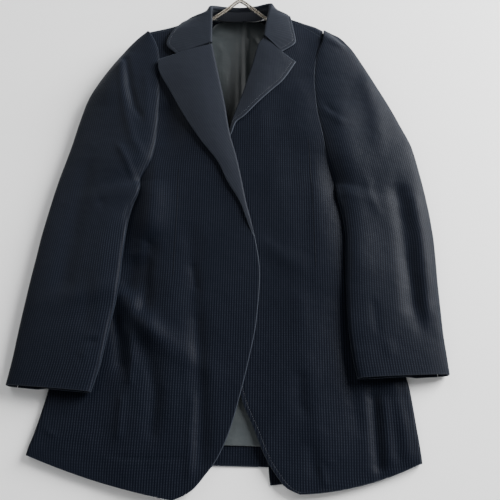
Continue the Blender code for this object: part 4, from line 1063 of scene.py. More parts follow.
def cloth_shell(name, grid, thickness, material, stitched=(), gorge=0.0):
    """Closed thin shell of cloth whose middle is the grid, with round rims.

    The rim is as round as the cloth is thick along the stitched sides and tighter along seams.
    Inside the gorge, a distance from the middle of the neck, the top and hem are seams that
    get no painted rim highlight.
    """
    points = grid[:, :, :3]
    normal = grid_normals(points)
    rows, cols = points.shape[:2]
    radius = thickness / 2
    to_edge = edge_distance(grid, SIDES)
    inside = np.clip(1.0 - to_edge / SEAM_RIM, 0.0, 1.0)
    rise = np.zeros_like(to_edge)
    if stitched:
        to_stitched = edge_distance(grid, stitched)
        inside = np.maximum(inside, np.clip(1.0 - to_stitched / radius, 0.0, 1.0))
        rise -= HEM_DIP * np.exp(-(to_stitched - STITCH_INSET) ** 2)
        rise += HEM_SWELL * np.exp(-((to_stitched - SWELL_INSET) / SWELL_WIDTH) ** 2)
    half = radius * np.maximum(np.sqrt(1.0 - inside ** 2), RIM_END)
    # The sewn gorge seams are kept out of the painted rim highlight.
    to_edge = to_edge + SEAM_KEPT * seam_share(grid, gorge)
    top = points + normal * (half + rise)[:, :, None]
    low = points - normal * half[:, :, None]
    verts = placed(np.concatenate([top.reshape(-1, 3), low.reshape(-1, 3)]))
    size = rows * cols
    number = np.arange(size).reshape(rows, cols)
    a = number[:-1, :-1].ravel()
    b = number[:-1, 1:].ravel()
    c = number[1:, 1:].ravel()
    d = number[1:, :-1].ravel()
    upper = np.stack([a, b, c, d], axis=1)
    under = np.stack([d, c, b, a], axis=1) + size
    ring = np.concatenate([number[0], number[1:, -1], number[-1, -2::-1], number[-2:0:-1, 0]])
    following = np.roll(ring, -1)
    rim = np.stack([following, ring, ring + size, following + size], axis=1)
    faces = np.concatenate([upper, under, rim])
    mesh = bpy.data.meshes.new(name)
    mesh.from_pydata(verts.tolist(), [], faces.tolist())
    corner = faces.ravel()
    for layer, u, v in (
        ("cloth", grid[:, :, 3], grid[:, :, 4]),
        ("edge", to_edge * MM, np.zeros_like(to_edge)),
    ):
        pairs = np.stack([u.ravel(), v.ravel()], axis=1)[corner % size]
        uv = mesh.uv_layers.new(name=layer)
        uv.data.foreach_set("uv", pairs.astype(np.float32).ravel())
    mesh.materials.append(material)
    mesh.polygons.foreach_set("use_smooth", [True] * len(mesh.polygons))
    mesh.update()
    print(name, len(faces) * 2, "triangles")
    return add_object(name, mesh)


def inset_path(grid, side, inset, trim_start=0.0, trim_end=0.0, thickness=CLOTH):
    """Line on the upper face of a piece, a set distance inside one of its sides."""
    points = grid[:, :, :3]
    raised = points + grid_normals(points) * (thickness / 2 - HEM_DIP)
    if side in ("top", "hem"):
        raised = np.moveaxis(raised, 0, 1)
    if side in ("last", "hem"):
        raised = raised[:, ::-1]
    path = []
    for line in raised:
        run = run_along(line)
        path.append([np.interp(inset, run, line[:, c]) for c in range(3)])
    path = np.array(path)
    run = run_along(path)
    keep = (run >= trim_start) & (run <= run[-1] - trim_end)
    return path[keep]


print("shell ready")

# %% [markdown]
# ## Fronts
#
# Each front is one cut piece from the neck to the hem. It lies over the chest, turns round the
# side fold and ends 10 mm under the body at the side seam. Its front edge is stitched 5 mm in.

# %% Front drafts
SIDE_TURN_POINTS = 40
FRONT_POINTS = 96


def front_grid(table, height, lapel):
    grid = []
    u = []
    v = []
    outward = -1.0 if table[0][2] < 0 else 1.0
    for ix, iy, ox, oy, bow, wrap, drop in table_rows(table, DRAFT_STEP):
        if lapel[-1][1] <= iy <= lapel[0][1]:
            tucked = (FOLD + LAPEL_TUCK) * float(lapel_share(lapel, iy))
            ix = float(inner_x(lapel, iy)) + outward * tucked
        inner = np.array([ix, iy])
        outer = np.array([ox, oy])
        span = np.linalg.norm(outer - inner)
        way = (outer - inner) / span
        low = CLOTH / 2

        def top_points(dist):
            f = dist / span
            x = ix + way[0] * dist
            y = iy + way[1] * dist - bow * 4 * f * (1 - f)
            return np.stack([x, y, height(x, y) - drop], axis=-1)

        side_height = top_points(np.array([span - SIDE_SETBACK * wrap]))[0, 2]
        radius = (side_height - low) / 2
        top_length = span - radius * wrap
        wrap_length = wrap * (math.pi * radius + SIDE_EXTENT)
        shared = SIDE_RESERVE * (1 - wrap)
        flat = np.linspace(0.0, top_length - shared, FRONT_POINTS)
        share = np.arange(1, SIDE_TURN_POINTS + 1) / SIDE_TURN_POINTS
        beyond = top_length - shared + (shared + wrap_length) * share
        end = top_points(np.array([top_length]))[0]
        radius_here = (end[2] - low) / 2
        turn = np.maximum(beyond - top_length, 0.0)
        angle = np.clip(turn / radius_here, 0.0, math.pi)
        under = np.maximum(turn - math.pi * radius_here, 0.0)
        across = radius_here * np.sin(angle) - under
        turned = np.stack([
            end[0] + way[0] * across,
            end[1] + way[1] * across,
            low + radius_here * (1 + np.cos(angle)),
        ], axis=-1)
        before = top_points(np.minimum(beyond, top_length))
        turned = np.where((beyond <= top_length)[:, None], before, turned)
        row = np.concatenate([top_points(flat), turned])
        grid.append(row)
        run = run_along(row)
        u.append(ix + outward * run)
        v.append(np.interp(run, [0.0, run[-1]], [-iy, -oy]))
    return with_flat_cloth(np.array(grid), u, v)


right_grid = front_grid(FRONT_RIGHT, creased_right_z, LAPEL_RIGHT)
right_grid = with_edges(right_grid, STEP, ("first", "hem"))
left_grid = front_grid(FRONT_LEFT, creased_left_z, LAPEL_LEFT)
left_grid = with_edges(left_grid, STEP, ("first", "hem"))
front_right = cloth_shell("front_over", right_grid, CLOTH, cloth_front_right, ("first",))
front_left = cloth_shell("front_under", left_grid, CLOTH, cloth_front_left, ("first",))

# %% [markdown]
# ## Lapels
#
# A lapel is the top of the front turned back at the roll line and faced with a second cloth. It
# starts with the small turn itself and then lies out over the chest, lifting a little before its
# edge. The notch is simply its first row.

# %% Lapels
TURN_POINTS = 14
LEAF_POINTS = 60
TURNED_STEP = 2.6      # distance between neighbouring rows and columns of lapels and collar
ROLL_GRAIN = 0.34      # how far the stripes slant to the roll line
GORGE_RIGHT = 94.0     # how far out from the neck's middle each lapel is sewn to the collar
GORGE_LEFT = 68.0


def lapel_grid(table, height):
    grid = []
    u = []
    v = []
    outward = -1.0 if table[0][2] < 0 else 1.0
    for rx, ry, ox, oy, bow, lift, edge_lift in table_rows(table, DRAFT_STEP):
        roll = np.array([float(inner_x(table, ry)), ry])
        outer = np.array([ox, oy])
        way = (outer - roll) / np.linalg.norm(outer - roll)
        fold = FOLD_END + (FOLD - FOLD_END) * float(lapel_share(table, ry))
        centre = roll + way * fold
        base = float(height(centre[0], centre[1]))
        angle = math.pi * np.arange(TURN_POINTS) / TURN_POINTS
        turn = np.stack([
            centre[0] - way[0] * fold * np.sin(angle),
            centre[1] - way[1] * fold * np.sin(angle),
            base + fold - fold * np.cos(angle),
        ], axis=-1)
        f = np.linspace(0.0, 1.0, LEAF_POINTS)
        x = centre[0] + (ox - centre[0]) * f
        y = centre[1] + (oy - centre[1]) * f - bow * np.sin(math.pi * f)
        z = height(x, y) + 2 * fold + lift * np.sin(math.pi * f) + edge_lift * f
        row = np.concatenate([turn, np.stack([x, y, z], axis=-1)])
        grid.append(row)
        run = run_along(row)
        u.append(ry * ROLL_GRAIN + outward * run)
        v.append(np.interp(run, [0.0, run[-1]], [-ry, -oy]))
    grid = with_flat_cloth(np.array(grid), u, v)
    return with_edges(grid, TURNED_STEP, ("last", "top"))


def lapel_piece(name, table, grid, gorge):
    thickness = THIN_END + (TURNED - THIN_END) * lapel_share(table, grid[:, :, 1])
    return cloth_shell(name, grid, thickness, cloth_facing_painted_light, ("last",), gorge)


lapel_right_grid = lapel_grid(LAPEL_RIGHT, front_right_z)
lapel_left_grid = lapel_grid(LAPEL_LEFT, front_left_z)
lapel_right = lapel_piece("lapel_over", LAPEL_RIGHT, lapel_right_grid, GORGE_RIGHT)
lapel_left = lapel_piece("lapel_under", LAPEL_LEFT, lapel_left_grid, GORGE_LEFT)

# %% [markdown]
# ## Collar
#
# The collar leaf turns over at the neck and falls onto the fronts, and behind the neck it hangs
# down over the back. The stand is the narrow band inside it, next to the wearer's neck.

# %% Collar leaf and stand
COLLAR_LEAF_POINTS = 44
STAND_POINTS = 24
COLLAR_STEP = 2.2      # distance between the collar's drafted rows
COLLAR_WIDTH = 9       # columns of its table that the distance is measured in
COLLAR_ENDS = 130.0    # both ends of the leaf lie within this distance of the neck's middle
COLLAR_REACH = 1.6     # how soon a hanging leaf reaches outward
COLLAR_SAG = 0.55      # how much of a lying leaf's fall comes late
COLLAR_DROP = 1.25     # how soon a hanging leaf comes down


def collar_grids(table):
    leaf = []
    stand = []
    for values in table_rows(table, COLLAR_STEP, COLLAR_WIDTH):
        roll, outer, seam = values[:9].reshape(3, 3)
        oz = outer[2]
        turn = values[9]
        flat = (outer - roll) * np.array([1, 1, 0])
        flat = flat / np.linalg.norm(flat)
        up = np.array([0, 0, 1.0])
        start_angle = math.radians(90.0 + turn)
        steep = float(smooth((COLLAR_HANG - oz) / COLLAR_STEEP))
        end_angle = math.radians(90.0 - COLLAR_OVER * steep)
        radius = FOLD + COLLAR_ROUND * steep
        centre = roll + (flat - up) * radius
        share = np.arange(TURN_POINTS) / TURN_POINTS
        angle = (start_angle + (end_angle - start_angle) * share)[:, None]
        row = centre + radius * (flat * np.cos(angle) + up * np.sin(angle))
        crest = centre + radius * (flat * math.cos(end_angle) + up * math.sin(end_angle))
        fall = outer - crest
        f = np.linspace(0.0, 1.0, COLLAR_LEAF_POINTS)
        hang = float(smooth((COLLAR_HANG + 3 - oz) / 6))
        ease = f + (1 - (1 - f) ** COLLAR_REACH - f) * hang * (1 - steep)
        drop = f * f * COLLAR_SAG + f * (1 - COLLAR_SAG)
        drop = drop + (1 - (1 - f) ** COLLAR_DROP - drop) * steep
        z = crest[2] + fall[2] * drop
        plan = crest[:2] + fall[:2] * ease[:, None]
        leaf.append(np.concatenate([row, np.column_stack([plan, z])]))
        begin = row[0]
        gap = (seam - begin) / np.linalg.norm(seam - begin)
        head = begin + gap * STAND_GAP
        stand.append(head + (seam - head) * np.linspace(0.0, 1.0, STAND_POINTS)[:, None])
    result = []
    for grid in (np.array(leaf), np.array(stand)):
        run = run_along(grid[:, grid.shape[1] // 3])
        u = np.repeat(run[:, None], grid.shape[1], axis=1)
        result.append(with_flat_cloth(grid, u, line_length(grid, 1)))
    return result


leaf_grid, stand_grid = collar_grids(COLLAR)
leaf_grid = with_edges(leaf_grid, TURNED_STEP, ("last", "top", "hem"))
stand_grid = with_edges(stand_grid, TURNED_STEP)
collar_leaf = cloth_shell("collar_leaf_cloth", leaf_grid, TURNED, cloth_facing_painted_light, ("last",), COLLAR_ENDS)
collar_stand = cloth_shell("collar_stand_cloth", stand_grid, CLOTH, cloth_stand_painted_light)

# %% [markdown]
# ## Back
#
# The back lies on the floor in two halves, joined by a seam that wanders a little because the
# jacket was not laid quite square. At the shoulders it rolls up over the hanger to meet the
# fronts, and at the neck it runs up behind the collar.

# %% Back halves
BACK_ACROSS = 70
SHOULDER_POINTS = 26
FLOOR_POINTS = 150
BACK_STEP = 5.0


def shoulder_row(x):
    table = FRONT_RIGHT if x < 0 else FRONT_LEFT
    height = front_right_z if x < 0 else front_left_z
    ix, iy, ox, oy, bow, _, drop = table[0]
    f = (x - ix) / (ox - ix)
    y = iy + (oy - iy) * f - bow * 4 * f * (1 - f)
    return y, float(height(x, y)) - drop


def back_top(x):
    data = np.array(BACK_TOP, float)
    floor_y, handle, seam_y, seam_handle, seam_z, drop = [
        float(monotone(data[:, 0], data[:, c], x)) for c in range(1, 7)
    ]
    if abs(x) > SEAM_FROM:
        y, z = shoulder_row(x)
        share = float(smooth((abs(x) - SEAM_FROM) / SEAM_BLEND))
        seam_y += (y + 1.6 * GAP - seam_y) * share
        seam_z += (z - seam_z) * share
    return np.array([
        [floor_y, CLOTH / 2],
        [floor_y + handle, CLOTH / 2],
        [seam_y + seam_handle, seam_z - drop],
        [seam_y, seam_z],
    ])


def bezier(points, t):
    s = 1 - t
    weights = [s ** 3, 3 * s * s * t, 3 * s * t * t, t ** 3]
    return sum(w * points[:, k] for k, w in enumerate(weights))


def side_x(y):
    return by_height(SIDE_LINE, y)


def back_outer(y):
    return by_height(BACK_ARMHOLE, y) if y > UNDERARM_SEAM_Y else side_x(y) - SIDE_SEAM_INSET


def back_grid(side, hem):
    tip = BACK_TIP_RIGHT if side < 0 else BACK_TIP_LEFT
    seam_gap = GAP / 2 * side
    edge = sorted(hem)
    middle = BACK_MIDDLE + seam_gap
    u = np.linspace(0.0, 1.0, BACK_ACROSS)
    top_x = middle + (tip - middle) * u
    handles = np.array([back_top(x) for x in top_x])
    grid = []
    for k in range(SHOULDER_POINTS):
        yz = bezier(handles, 1 - k / SHOULDER_POINTS)
        grid.append(np.column_stack([top_x, yz]))
    outer_floor = handles[-1, 0, 0]
    stations = [outer_floor] + BACK_STATIONS
    last = len(stations) - 1
    chord = BACK_NECK_Y + (outer_floor - BACK_NECK_Y) * u
    for s in np.linspace(0.0, last, FLOOR_POINTS):
        outer_y = np.interp(s, range(last + 1), stations)
        down = (outer_floor - outer_y) / (outer_floor - stations[-1])
        early = 1 - smooth(2 * s / last)
        centre_y = BACK_NECK_Y + (hem[0][1] - BACK_NECK_Y) * down
        near_top = smooth(s)
        reach = tip + (side * float(back_outer(outer_y)) - tip) * near_top
        centre_x = float(by_height(BACK_SEAM, centre_y)) + seam_gap
        x = centre_x + (reach - centre_x) * u
        y = centre_y + (outer_y - centre_y) * u + (handles[:, 0, 0] - chord) * early
        to_hem = max(0.0, s - (last - 1))
        hem_y = monotone([p[0] for p in edge], [p[1] for p in edge], x)
        straight = centre_y + (outer_y - centre_y) * u
        y = y + (hem_y - straight) * to_hem * (1 if s == last else to_hem)
        grid.append(np.column_stack([x, y, np.full_like(x, CLOTH / 2)]))
    grid = np.array(grid)
    return with_edges(with_flat_cloth(grid, grid[:, :, 0], line_length(grid, 0)), BACK_STEP)


back_right = cloth_shell("back_cloth_right", back_grid(-1, BACK_HEM_RIGHT), CLOTH, cloth_back)
back_left = cloth_shell("back_cloth_left", back_grid(1, BACK_HEM_LEFT), CLOTH, cloth_back)

# %% [markdown]
# ## Back lining
#
# Through the neck one sees the satin lining of the back. Linings are cut wider than the cloth,
# with a pleat down the middle, so that the cloth can stretch. The pleat stands up at the neck and
# dies away below the shoulder blades.

# %% Lining
LINING_ACROSS = 150
LINING_STEP = 3.4
TURN_ROWS = 22         # rows of the lining's draft up the turn of the back, and down the floor
FLOOR_ROWS = 130
# ridges of the pleat: distance from the middle, half width, height
PLEAT_RIDGES = [(6.875, 4.4, 2.4), (-3.575, 3.2, 1.08)]
CREASES_LINING = [
    ([(-44, 45), (-28, 42), (-13, 39)], 4, 0.8),
    ([(-40, 33), (-15, 35)], 5, -0.7),
    ([(-38, 26), (-26, 7), (-24, -14)], 5, 0.7),
    ([(-15, 4), (-11, -22), (-12, -60)], 2.6, -0.6),
    ([(24, 35), (36, 16)], 2.4, -0.6),
    ([(30, 44), (40, 22), (44, 0)], 5, 0.6),
    ([(-26, -20), (-16, -70), (-10, -120)], 6, 0.6),
    ([(14, -20), (16, -60), (10, -110)], 5, 0.5),
]


def lining_grid():
    offset = CLOTH / 2 + GAP + LINING / 2
    across = np.linspace(-1.0, 1.0, LINING_ACROSS)
    across = np.sign(across) * (0.45 * abs(across) + 0.55 * across ** 2)
    width = np.where(across < 0, LINING_WIDTH_RIGHT, LINING_WIDTH_LEFT)
    top_x = BACK_MIDDLE + across * width
    handles = np.array([back_top(x) for x in top_x])
    grid = []
    for t in np.linspace(LINING_REACH[0], LINING_REACH[1], TURN_ROWS):
        shoulder = smooth((abs(top_x) - LINING_NECK) / LINING_NECK_BLEND)
        reach = t * (1 - 0.95 * shoulder)
        here = bezier(handles, reach[:, None])
        ahead = bezier(handles, reach[:, None] + 0.02)
        slope = (ahead - here) / np.linalg.norm(ahead - here, axis=1, keepdims=True)
        away = offset + shoulder
        y = here[:, 0] - away * slope[:, 1]
        z = here[:, 1] + away * slope[:, 0]
        grid.append(np.column_stack([top_x, y, z]))
    last = len(LINING_STATIONS) - 1
    for s in np.linspace(0.0, last, FLOOR_ROWS):
        station = np.interp(s, range(last + 1), LINING_STATIONS)
        left = float(by_height([row[:2] for row in LINING_SIDES], station))
        right = float(by_height([row[::2] for row in LINING_SIDES], station))
        seam = float(by_height(BACK_SEAM, station))
        x = seam + np.where(across < 0, across * (seam - left), across * (right - seam))
        blend = smooth(s / 4)
        y = station + (handles[:, 0, 0] - LINING_DROP - LINING_STATIONS[0]) * (1 - blend)
        to_hem = max(0.0, s - (last - 1))
        hem_y = LINING_HEM_RIGHT + (LINING_HEM_LEFT - LINING_HEM_RIGHT) * (across + 1) / 2
        y = y + (hem_y - y) * to_hem
        grid.append(np.column_stack([x, y, np.full_like(x, CLOTH + GAP + LINING / 2 + (1 - blend))]))
    grid = np.array(grid)
    seam_x = grid[:, LINING_ACROSS // 2 - 1:LINING_ACROSS // 2 + 1, 0].mean(axis=1)[:, None]
    fade = smooth((grid[:, :, 1] - PLEAT_END) / PLEAT_FADE)
    away = grid[:, :, 0] - seam_x
    for place, half, height in PLEAT_RIDGES:
        grid[:, :, 2] += height * fade * np.exp(-((away - place) / half) ** 2)
    grid[:, :, 2] += crease_height(CREASES_LINING, grid[:, :, 0], grid[:, :, 1])
    return with_edges(with_flat_cloth(grid, grid[:, :, 0], line_length(grid, 0)), LINING_STEP)


lining_cloth = cloth_shell("back_lining_cloth", lining_grid(), LINING, satin_lining)

# %% [markdown]
# ## Sleeves
#
# A tailored sleeve has two parts: a wide upper one, and an under one that closes the tube. Laid
# flat, each sleeve is a flattened tube that rests on the side of the body near the top and on the
# floor near the cuff.

# %% Sleeve sections
# rise of the inner edge over the cloth below it, and of the top over that edge: y, rise
EDGE_RISE = [
    (40, 2.0), (-60, 2.6), (-200, 4.2), (-262, 4.4), (-300, 5.0), (-360, 6.0), (-460, 6.0),
    (-560, 5.4),
]
TOP_RISE_RIGHT = [
    (40, 3.0), (10, 4.0), (-60, 5.2), (-150, 6.8), (-240, 11.0), (-255, 7.8), (-268, 4.2), (-310, 4.0),
    (-400, 5.6), (-560, 5.4),
]
TOP_RISE_LEFT = [
    (40, 2.0), (10, 2.2), (-60, 2.8), (-150, 4.8), (-240, 10.6), (-255, 7.6), (-268, 4.2), (-310, 4.0),
    (-400, 5.6), (-560, 5.4),
]
CAP_SHIFT = 1.0        # moves the cap's edge clear of the front's, so that the seam lies flush
CAP_SHIFT_FADE = 45.0  # from the shoulder's tip down
CAP_SHAPE = 2.5        # how square the cap is next to that seam


def body_top(side, x, y):
    distance = abs(x)
    height = (front_right_z if side < 0 else front_left_z)(x, y) + CLOTH / 2
    outside = smooth((side_x(y) + STEP_OUT - distance) / STEP_WIDTH)
    armhole = ARMHOLE_FOOT[1] - (distance - ARMHOLE_FOOT[0]) * ARMHOLE_SLOPE
    inside = smooth((armhole + UNDERARM_EARLY + UNDERARM_RAMP - y) / UNDERARM_RAMP)
    return height * outside * inside


def under_z(side, x, y):
    rest = body_top(side, x, y)
    away = SLEEVE_CLEARANCE + UNDERARM_LIFT * np.exp(-((y - UNDERARM_Y) / UNDERARM_RAMP) ** 2)
    return CLOTH / 2 + rest + away * np.minimum(1.0, rest / (2 * CLOTH))


def squareness(w, power):
    return np.maximum(0.0, 1.0 - abs(1.0 - 2.0 * w) ** power) ** (1.0 / power)


class SleeveSection:
    """One cross-section of a sleeve, from its row of the draft."""

    def __init__(self, values, top_creases, under_creases):
        ix, iy, ox, oy, self.top_out, self.edge_out, self.closed = values
        self.side = 1.0 if ox > 0 else -1.0
        self.rise = float(by_height(TOP_RISE_RIGHT if ox < 0 else TOP_RISE_LEFT, iy))
        self.inner = np.array([ix, iy])
        self.outer = np.array([ox, oy])
        self.top_creases = top_creases
        self.under_creases = under_creases
        front_z = front_right_z if self.side < 0 else front_left_z
        below_tip = smooth(-iy / CAP_SHIFT_FADE)
        self.inner[0] += self.side * CAP_SHIFT * (1 - self.closed) * below_tip
        seam_edge = float(front_z(ix, iy))
        free_edge = float(body_top(self.side, ix, iy)) + SLEEVE_CLEARANCE + CLOTH / 2
        free_edge += float(by_height(EDGE_RISE, iy))
        self.edge_in = seam_edge + (free_edge - seam_edge) * self.closed
        self.gap = 2 * GAP / np.linalg.norm(self.outer - self.inner)
        w = UNDERSIDE_GUESS
        for _ in range(6):
            y = iy + (oy - iy) * w
            target = self.side * (float(by_height(BACK_ARMHOLE, y)) + ARMHOLE_CLEARANCE)
            w = min(max((target - ix) / (ox - ix), UNDERSIDE_FROM), UNDERSIDE_TO)
        self.start = w + (SLEEVE_SEAM_IN + self.gap - w) * self.closed

    def plan(self, w):
        return (self.inner[0] + (self.outer[0] - self.inner[0]) * w,
                self.inner[1] + (self.outer[1] - self.inner[1]) * w)

    def top(self, w):
        x, y = self.plan(w)
        level = self.edge_in + self.rise
        z = level + (self.top_out - level) * w + SLEEVE_BULGE * 4 * w * (1 - w)
        inner_shape = CAP_SHAPE + (SLEEVE_TOP_SHAPE - CAP_SHAPE) * self.closed
        full = np.where(w < 0.5, squareness(w, inner_shape), squareness(w, SLEEVE_TOP_SHAPE))
        z = z - np.where(w < 0.5, self.rise, self.top_out - self.edge_out) * (1 - full)
        z = z + crease_height(self.top_creases, x, y) * full ** 2
        return np.stack([x, y, z], axis=-1)

    def bottom(self, w):
        x, y = self.plan(w)
        z = under_z(self.side, x, y)
        edge = np.where(w < 0.5, self.edge_in, self.edge_out)
        full = squareness(w, SLEEVE_UNDER_SHAPE)
        z = z + (edge - z) * (1 - full)
        z = z + crease_height(self.under_creases, x, y) * full ** 3
        return np.stack([x, y, z], axis=-1)


TOP_SHARE = 0.5 * (1 - np.cos(np.linspace(0.0, math.pi, 62)))
TURNED_POINTS = 12     # points across each strip of the upper sleeve that lies underneath
CAP_INSET = 0.004      # share of the width that the cap keeps from its seam
UNDER_POINTS = 90
UNDER_STEP = 4.4
STRIPE_START = 40.0    # where the under sleeve's stripes begin, in from its outer seam


def sleeve_grids(table, top_creases, under_creases):
    upper = []
    upper_u = []
    under = []
    under_u = []
    v = []
    run_v = 0.0
    previous = None
    for values in table_rows(table, DRAFT_STEP):
        section = SleeveSection(values, top_creases, under_creases)
        closed = section.closed
        inset = CAP_INSET * (1 - closed)
        turned = np.linspace(1.0, 0.0, TURNED_POINTS) ** 2
        low = section.bottom(turned * SLEEVE_SEAM_IN)
        high = section.top(inset * (1 - turned))
        first = high + (low - high) * closed
        across = section.top((inset + (1 - inset) * TOP_SHARE)[1:])
        last = section.bottom(1 - turned[-2::-1] * (1 - SLEEVE_SEAM_OUT))
        row = np.concatenate([first, across, last])
        run = run_along(row)
        middle = run[len(first) + len(across) // 2]
        upper.append(row)
        upper_u.append((run - middle) * section.side)
        bottom_share = np.linspace(section.start, SLEEVE_SEAM_OUT - section.gap, UNDER_POINTS)
        bottom = section.bottom(bottom_share)
        under.append(bottom)
        run = run_along(bottom)
        under_u.append((run - run[-1] + STRIPE_START) * section.side)
        centre = (section.inner + section.outer) / 2
        if previous is not None:
            run_v += np.linalg.norm(centre - previous)
        previous = centre
        v.append(run_v)
    upper = np.array(upper)
    under = np.array(under)
    v = np.array(v)[:, None]
    return (with_flat_cloth(upper, upper_u, np.repeat(v, upper.shape[1], axis=1)),
            with_flat_cloth(under, under_u, np.repeat(v, under.shape[1], axis=1)))


print("points across the top of a sleeve:", len(TOP_SHARE))

# %% Sleeve pieces
sleeve_parts = {}
for side, table, top_creases, under_creases in (
    ("right", SLEEVE_RIGHT, CREASES_SLEEVE_RIGHT, CREASES_UNDER_RIGHT),
    ("left", SLEEVE_LEFT, CREASES_SLEEVE_LEFT, CREASES_UNDER_LEFT),
):
    upper_grid, under_grid = sleeve_grids(table, top_creases, under_creases)
    upper_grid = respaced(upper_grid, EDGE_LINES, STITCH_LINES, STEP, 0, 0.0)
    under_grid = with_edges(under_grid, UNDER_STEP, ("hem",))
    sleeve_parts["upper", side] = cloth_shell("sleeve_upper_" + side, upper_grid, CLOTH, cloth_sleeve)
    sleeve_parts["under", side] = cloth_shell("sleeve_under_" + side, under_grid, CLOTH, cloth_sleeve)

# %% [markdown]
# ## Hanger
#
# The hanger is two parallel wires bent into arms, with a hook above. A tube that follows a path
# is what Geometry Nodes are good at, so one small tree makes all three from the same inputs.

# %% Tube along a path
TUBE_SPACING = 0.0018
TUBE_SIDES = 16


def path_object(name, points):
    mesh = bpy.data.meshes.new(name)
    points = placed(np.array(points))
    mesh.from_pydata(points.tolist(), [(i, i + 1) for i in range(len(points) - 1)], [])
    return add_object(name, mesh)


def growing_tree(name, inputs):
    """A node tree that starts from a path and a finish, with its inputs as fields."""
    tree = bpy.data.node_groups.new(name, "GeometryNodeTree")
    inputs = [("Path", "Geometry", None), ("Finish", "Material", None)] + inputs
    for label, kind, default in inputs:
        socket = tree.interface.new_socket(name=label, in_out="INPUT", socket_type="NodeSocket" + kind)
        if default is not None:
            socket.default_value = default
    tree.interface.new_socket(name="Grown", in_out="OUTPUT", socket_type="NodeSocketGeometry")
    sockets = tree.nodes.new("NodeGroupInput").outputs
    given = {label: Field(tree, sockets[label]) for label, _, _ in inputs}
    given["Curve"] = given["Path"].node("GeometryNodeMeshToCurve", {"Mesh": given["Path"]})
    return tree, given


def give_out(tree, made, finish):
    """Ends a node tree: real geometry that wears the finish."""
    real = made.node("GeometryNodeRealizeInstances", {"Geometry": made})
    coat = real.node("GeometryNodeSetMaterial", {"Geometry": real, "Material": finish})
    coat.feed(tree.nodes.new("NodeGroupOutput").inputs["Grown"])


def tube_tree():
    tree, given = growing_tree("tube_along_path", [
        ("Radius", "Float", WIRE_RADIUS * MM),
        ("Spacing", "Float", TUBE_SPACING),
        ("Sides", "Int", TUBE_SIDES),
    ])
    path = given["Curve"]
    even = path.node(
        "GeometryNodeResampleCurve", {"Curve": path, "Length": given["Spacing"]}, mode="LENGTH"
    )
    ring = path.node(
        "GeometryNodeCurvePrimitiveCircle", {"Resolution": given["Sides"], "Radius": given["Radius"]}
    )
    tube = path.node(
        "GeometryNodeCurveToMesh", {"Curve": even, "Profile Curve": ring, "Fill Caps": True}
    )
    give_out(tree, tube, given["Finish"])
    return tree


def grown(source, tree, values):
    """The mesh that a node tree makes from a source object, as a plain piece at the origin."""
    modifier = source.modifiers.new("grow", "NODES")
    modifier.node_group = tree
    for item in tree.interface.items_tree:
        if item.item_type == "SOCKET" and item.in_out == "INPUT" and item.name in values:
            modifier[item.identifier] = values[item.name]
    bpy.context.view_layer.update()
    depsgraph = bpy.context.evaluated_depsgraph_get()
    mesh = bpy.data.meshes.new_from_object(source.evaluated_get(depsgraph), depsgraph=depsgraph)
    source.modifiers.remove(modifier)
    name = source.name
    bpy.data.objects.remove(source, do_unlink=True)
    mesh.name = name
    mesh.polygons.foreach_set("use_smooth", [True] * len(mesh.polygons))
    print(name, len(mesh.polygons), "faces")
    return add_object(name, mesh)


# %% Wires and hook
WIRE_POINTS = 220
HOOK_TURN = (4.0, 210.0)    # degrees where the bend of the hook starts and ends
HOOK_EASE = 45.0            # and over how many it comes round from the shank


def hanger_z(y):
    return HANGER_BASE + HANGER_RISE * y


def wire_points(shift):
    """The upper wire's middle line, shifted sideways in the plane of the hanger."""
    data = np.array(WIRE_PATH, float)
    along = run_along(data)
    at = np.linspace(0, along[-1], WIRE_POINTS)
    line = np.column_stack([monotone(along, data[:, c], at) for c in range(2)])
    slope = np.gradient(line, axis=0)
    slope = slope / np.linalg.norm(slope, axis=1, keepdims=True)
    line = line + slope[:, ::-1] * (shift, -shift)
    return np.column_stack([line, hanger_z(line[:, 1])])


def hook_points():
    middle, start = HOOK_START
    turn = start + HOOK_SHANK
    points = [(middle, y, hanger_z(y)) for y in np.linspace(start, turn, 10)]
    for degrees in np.linspace(*HOOK_TURN, 60):
        angle = math.radians(degrees - 90.0)
        reach = HOOK_RADIUS * math.cos(angle) * min(1.0, degrees / HOOK_EASE)
        y = turn + HOOK_RADIUS * (1 + math.sin(angle))
        points.append((middle + reach, y, hanger_z(y)))
    return np.array(points)


tubes = tube_tree()
wires = []
for name, points, radius in (
    ("wire_upper", wire_points(0.0), WIRE_RADIUS),
    ("wire_lower", wire_points(WIRE_SPACING), WIRE_RADIUS),
    ("hook", hook_points(), HOOK_WIRE),
):
    values = {"Radius": radius * MM, "Finish": champagne_wire}
    wires.append(grown(path_object(name, points), tubes, values))

# %% [markdown]
# ## Stitching
#
# The turned edges are held flat by a row of small stitches. Each stitch is a short rounded bead
# of thread, and Geometry Nodes lay one at every pitch along the row, turned to follow it.

# %% Stitch rows
STITCH_PITCH = 0.0030
STITCH_LENGTH = 0.0021
STITCH_THICK = 0.00042
STITCH_VARIES = (0.88, 1.08)    # least and most share of the length
STITCH_SEED = 3
STITCH_SHORT = 6.0              # how far a row stops from a corner, in mm
OVER_HEM_END = -110.0           # x where the row along each front's hem stops
UNDER_HEM_END = 132.0


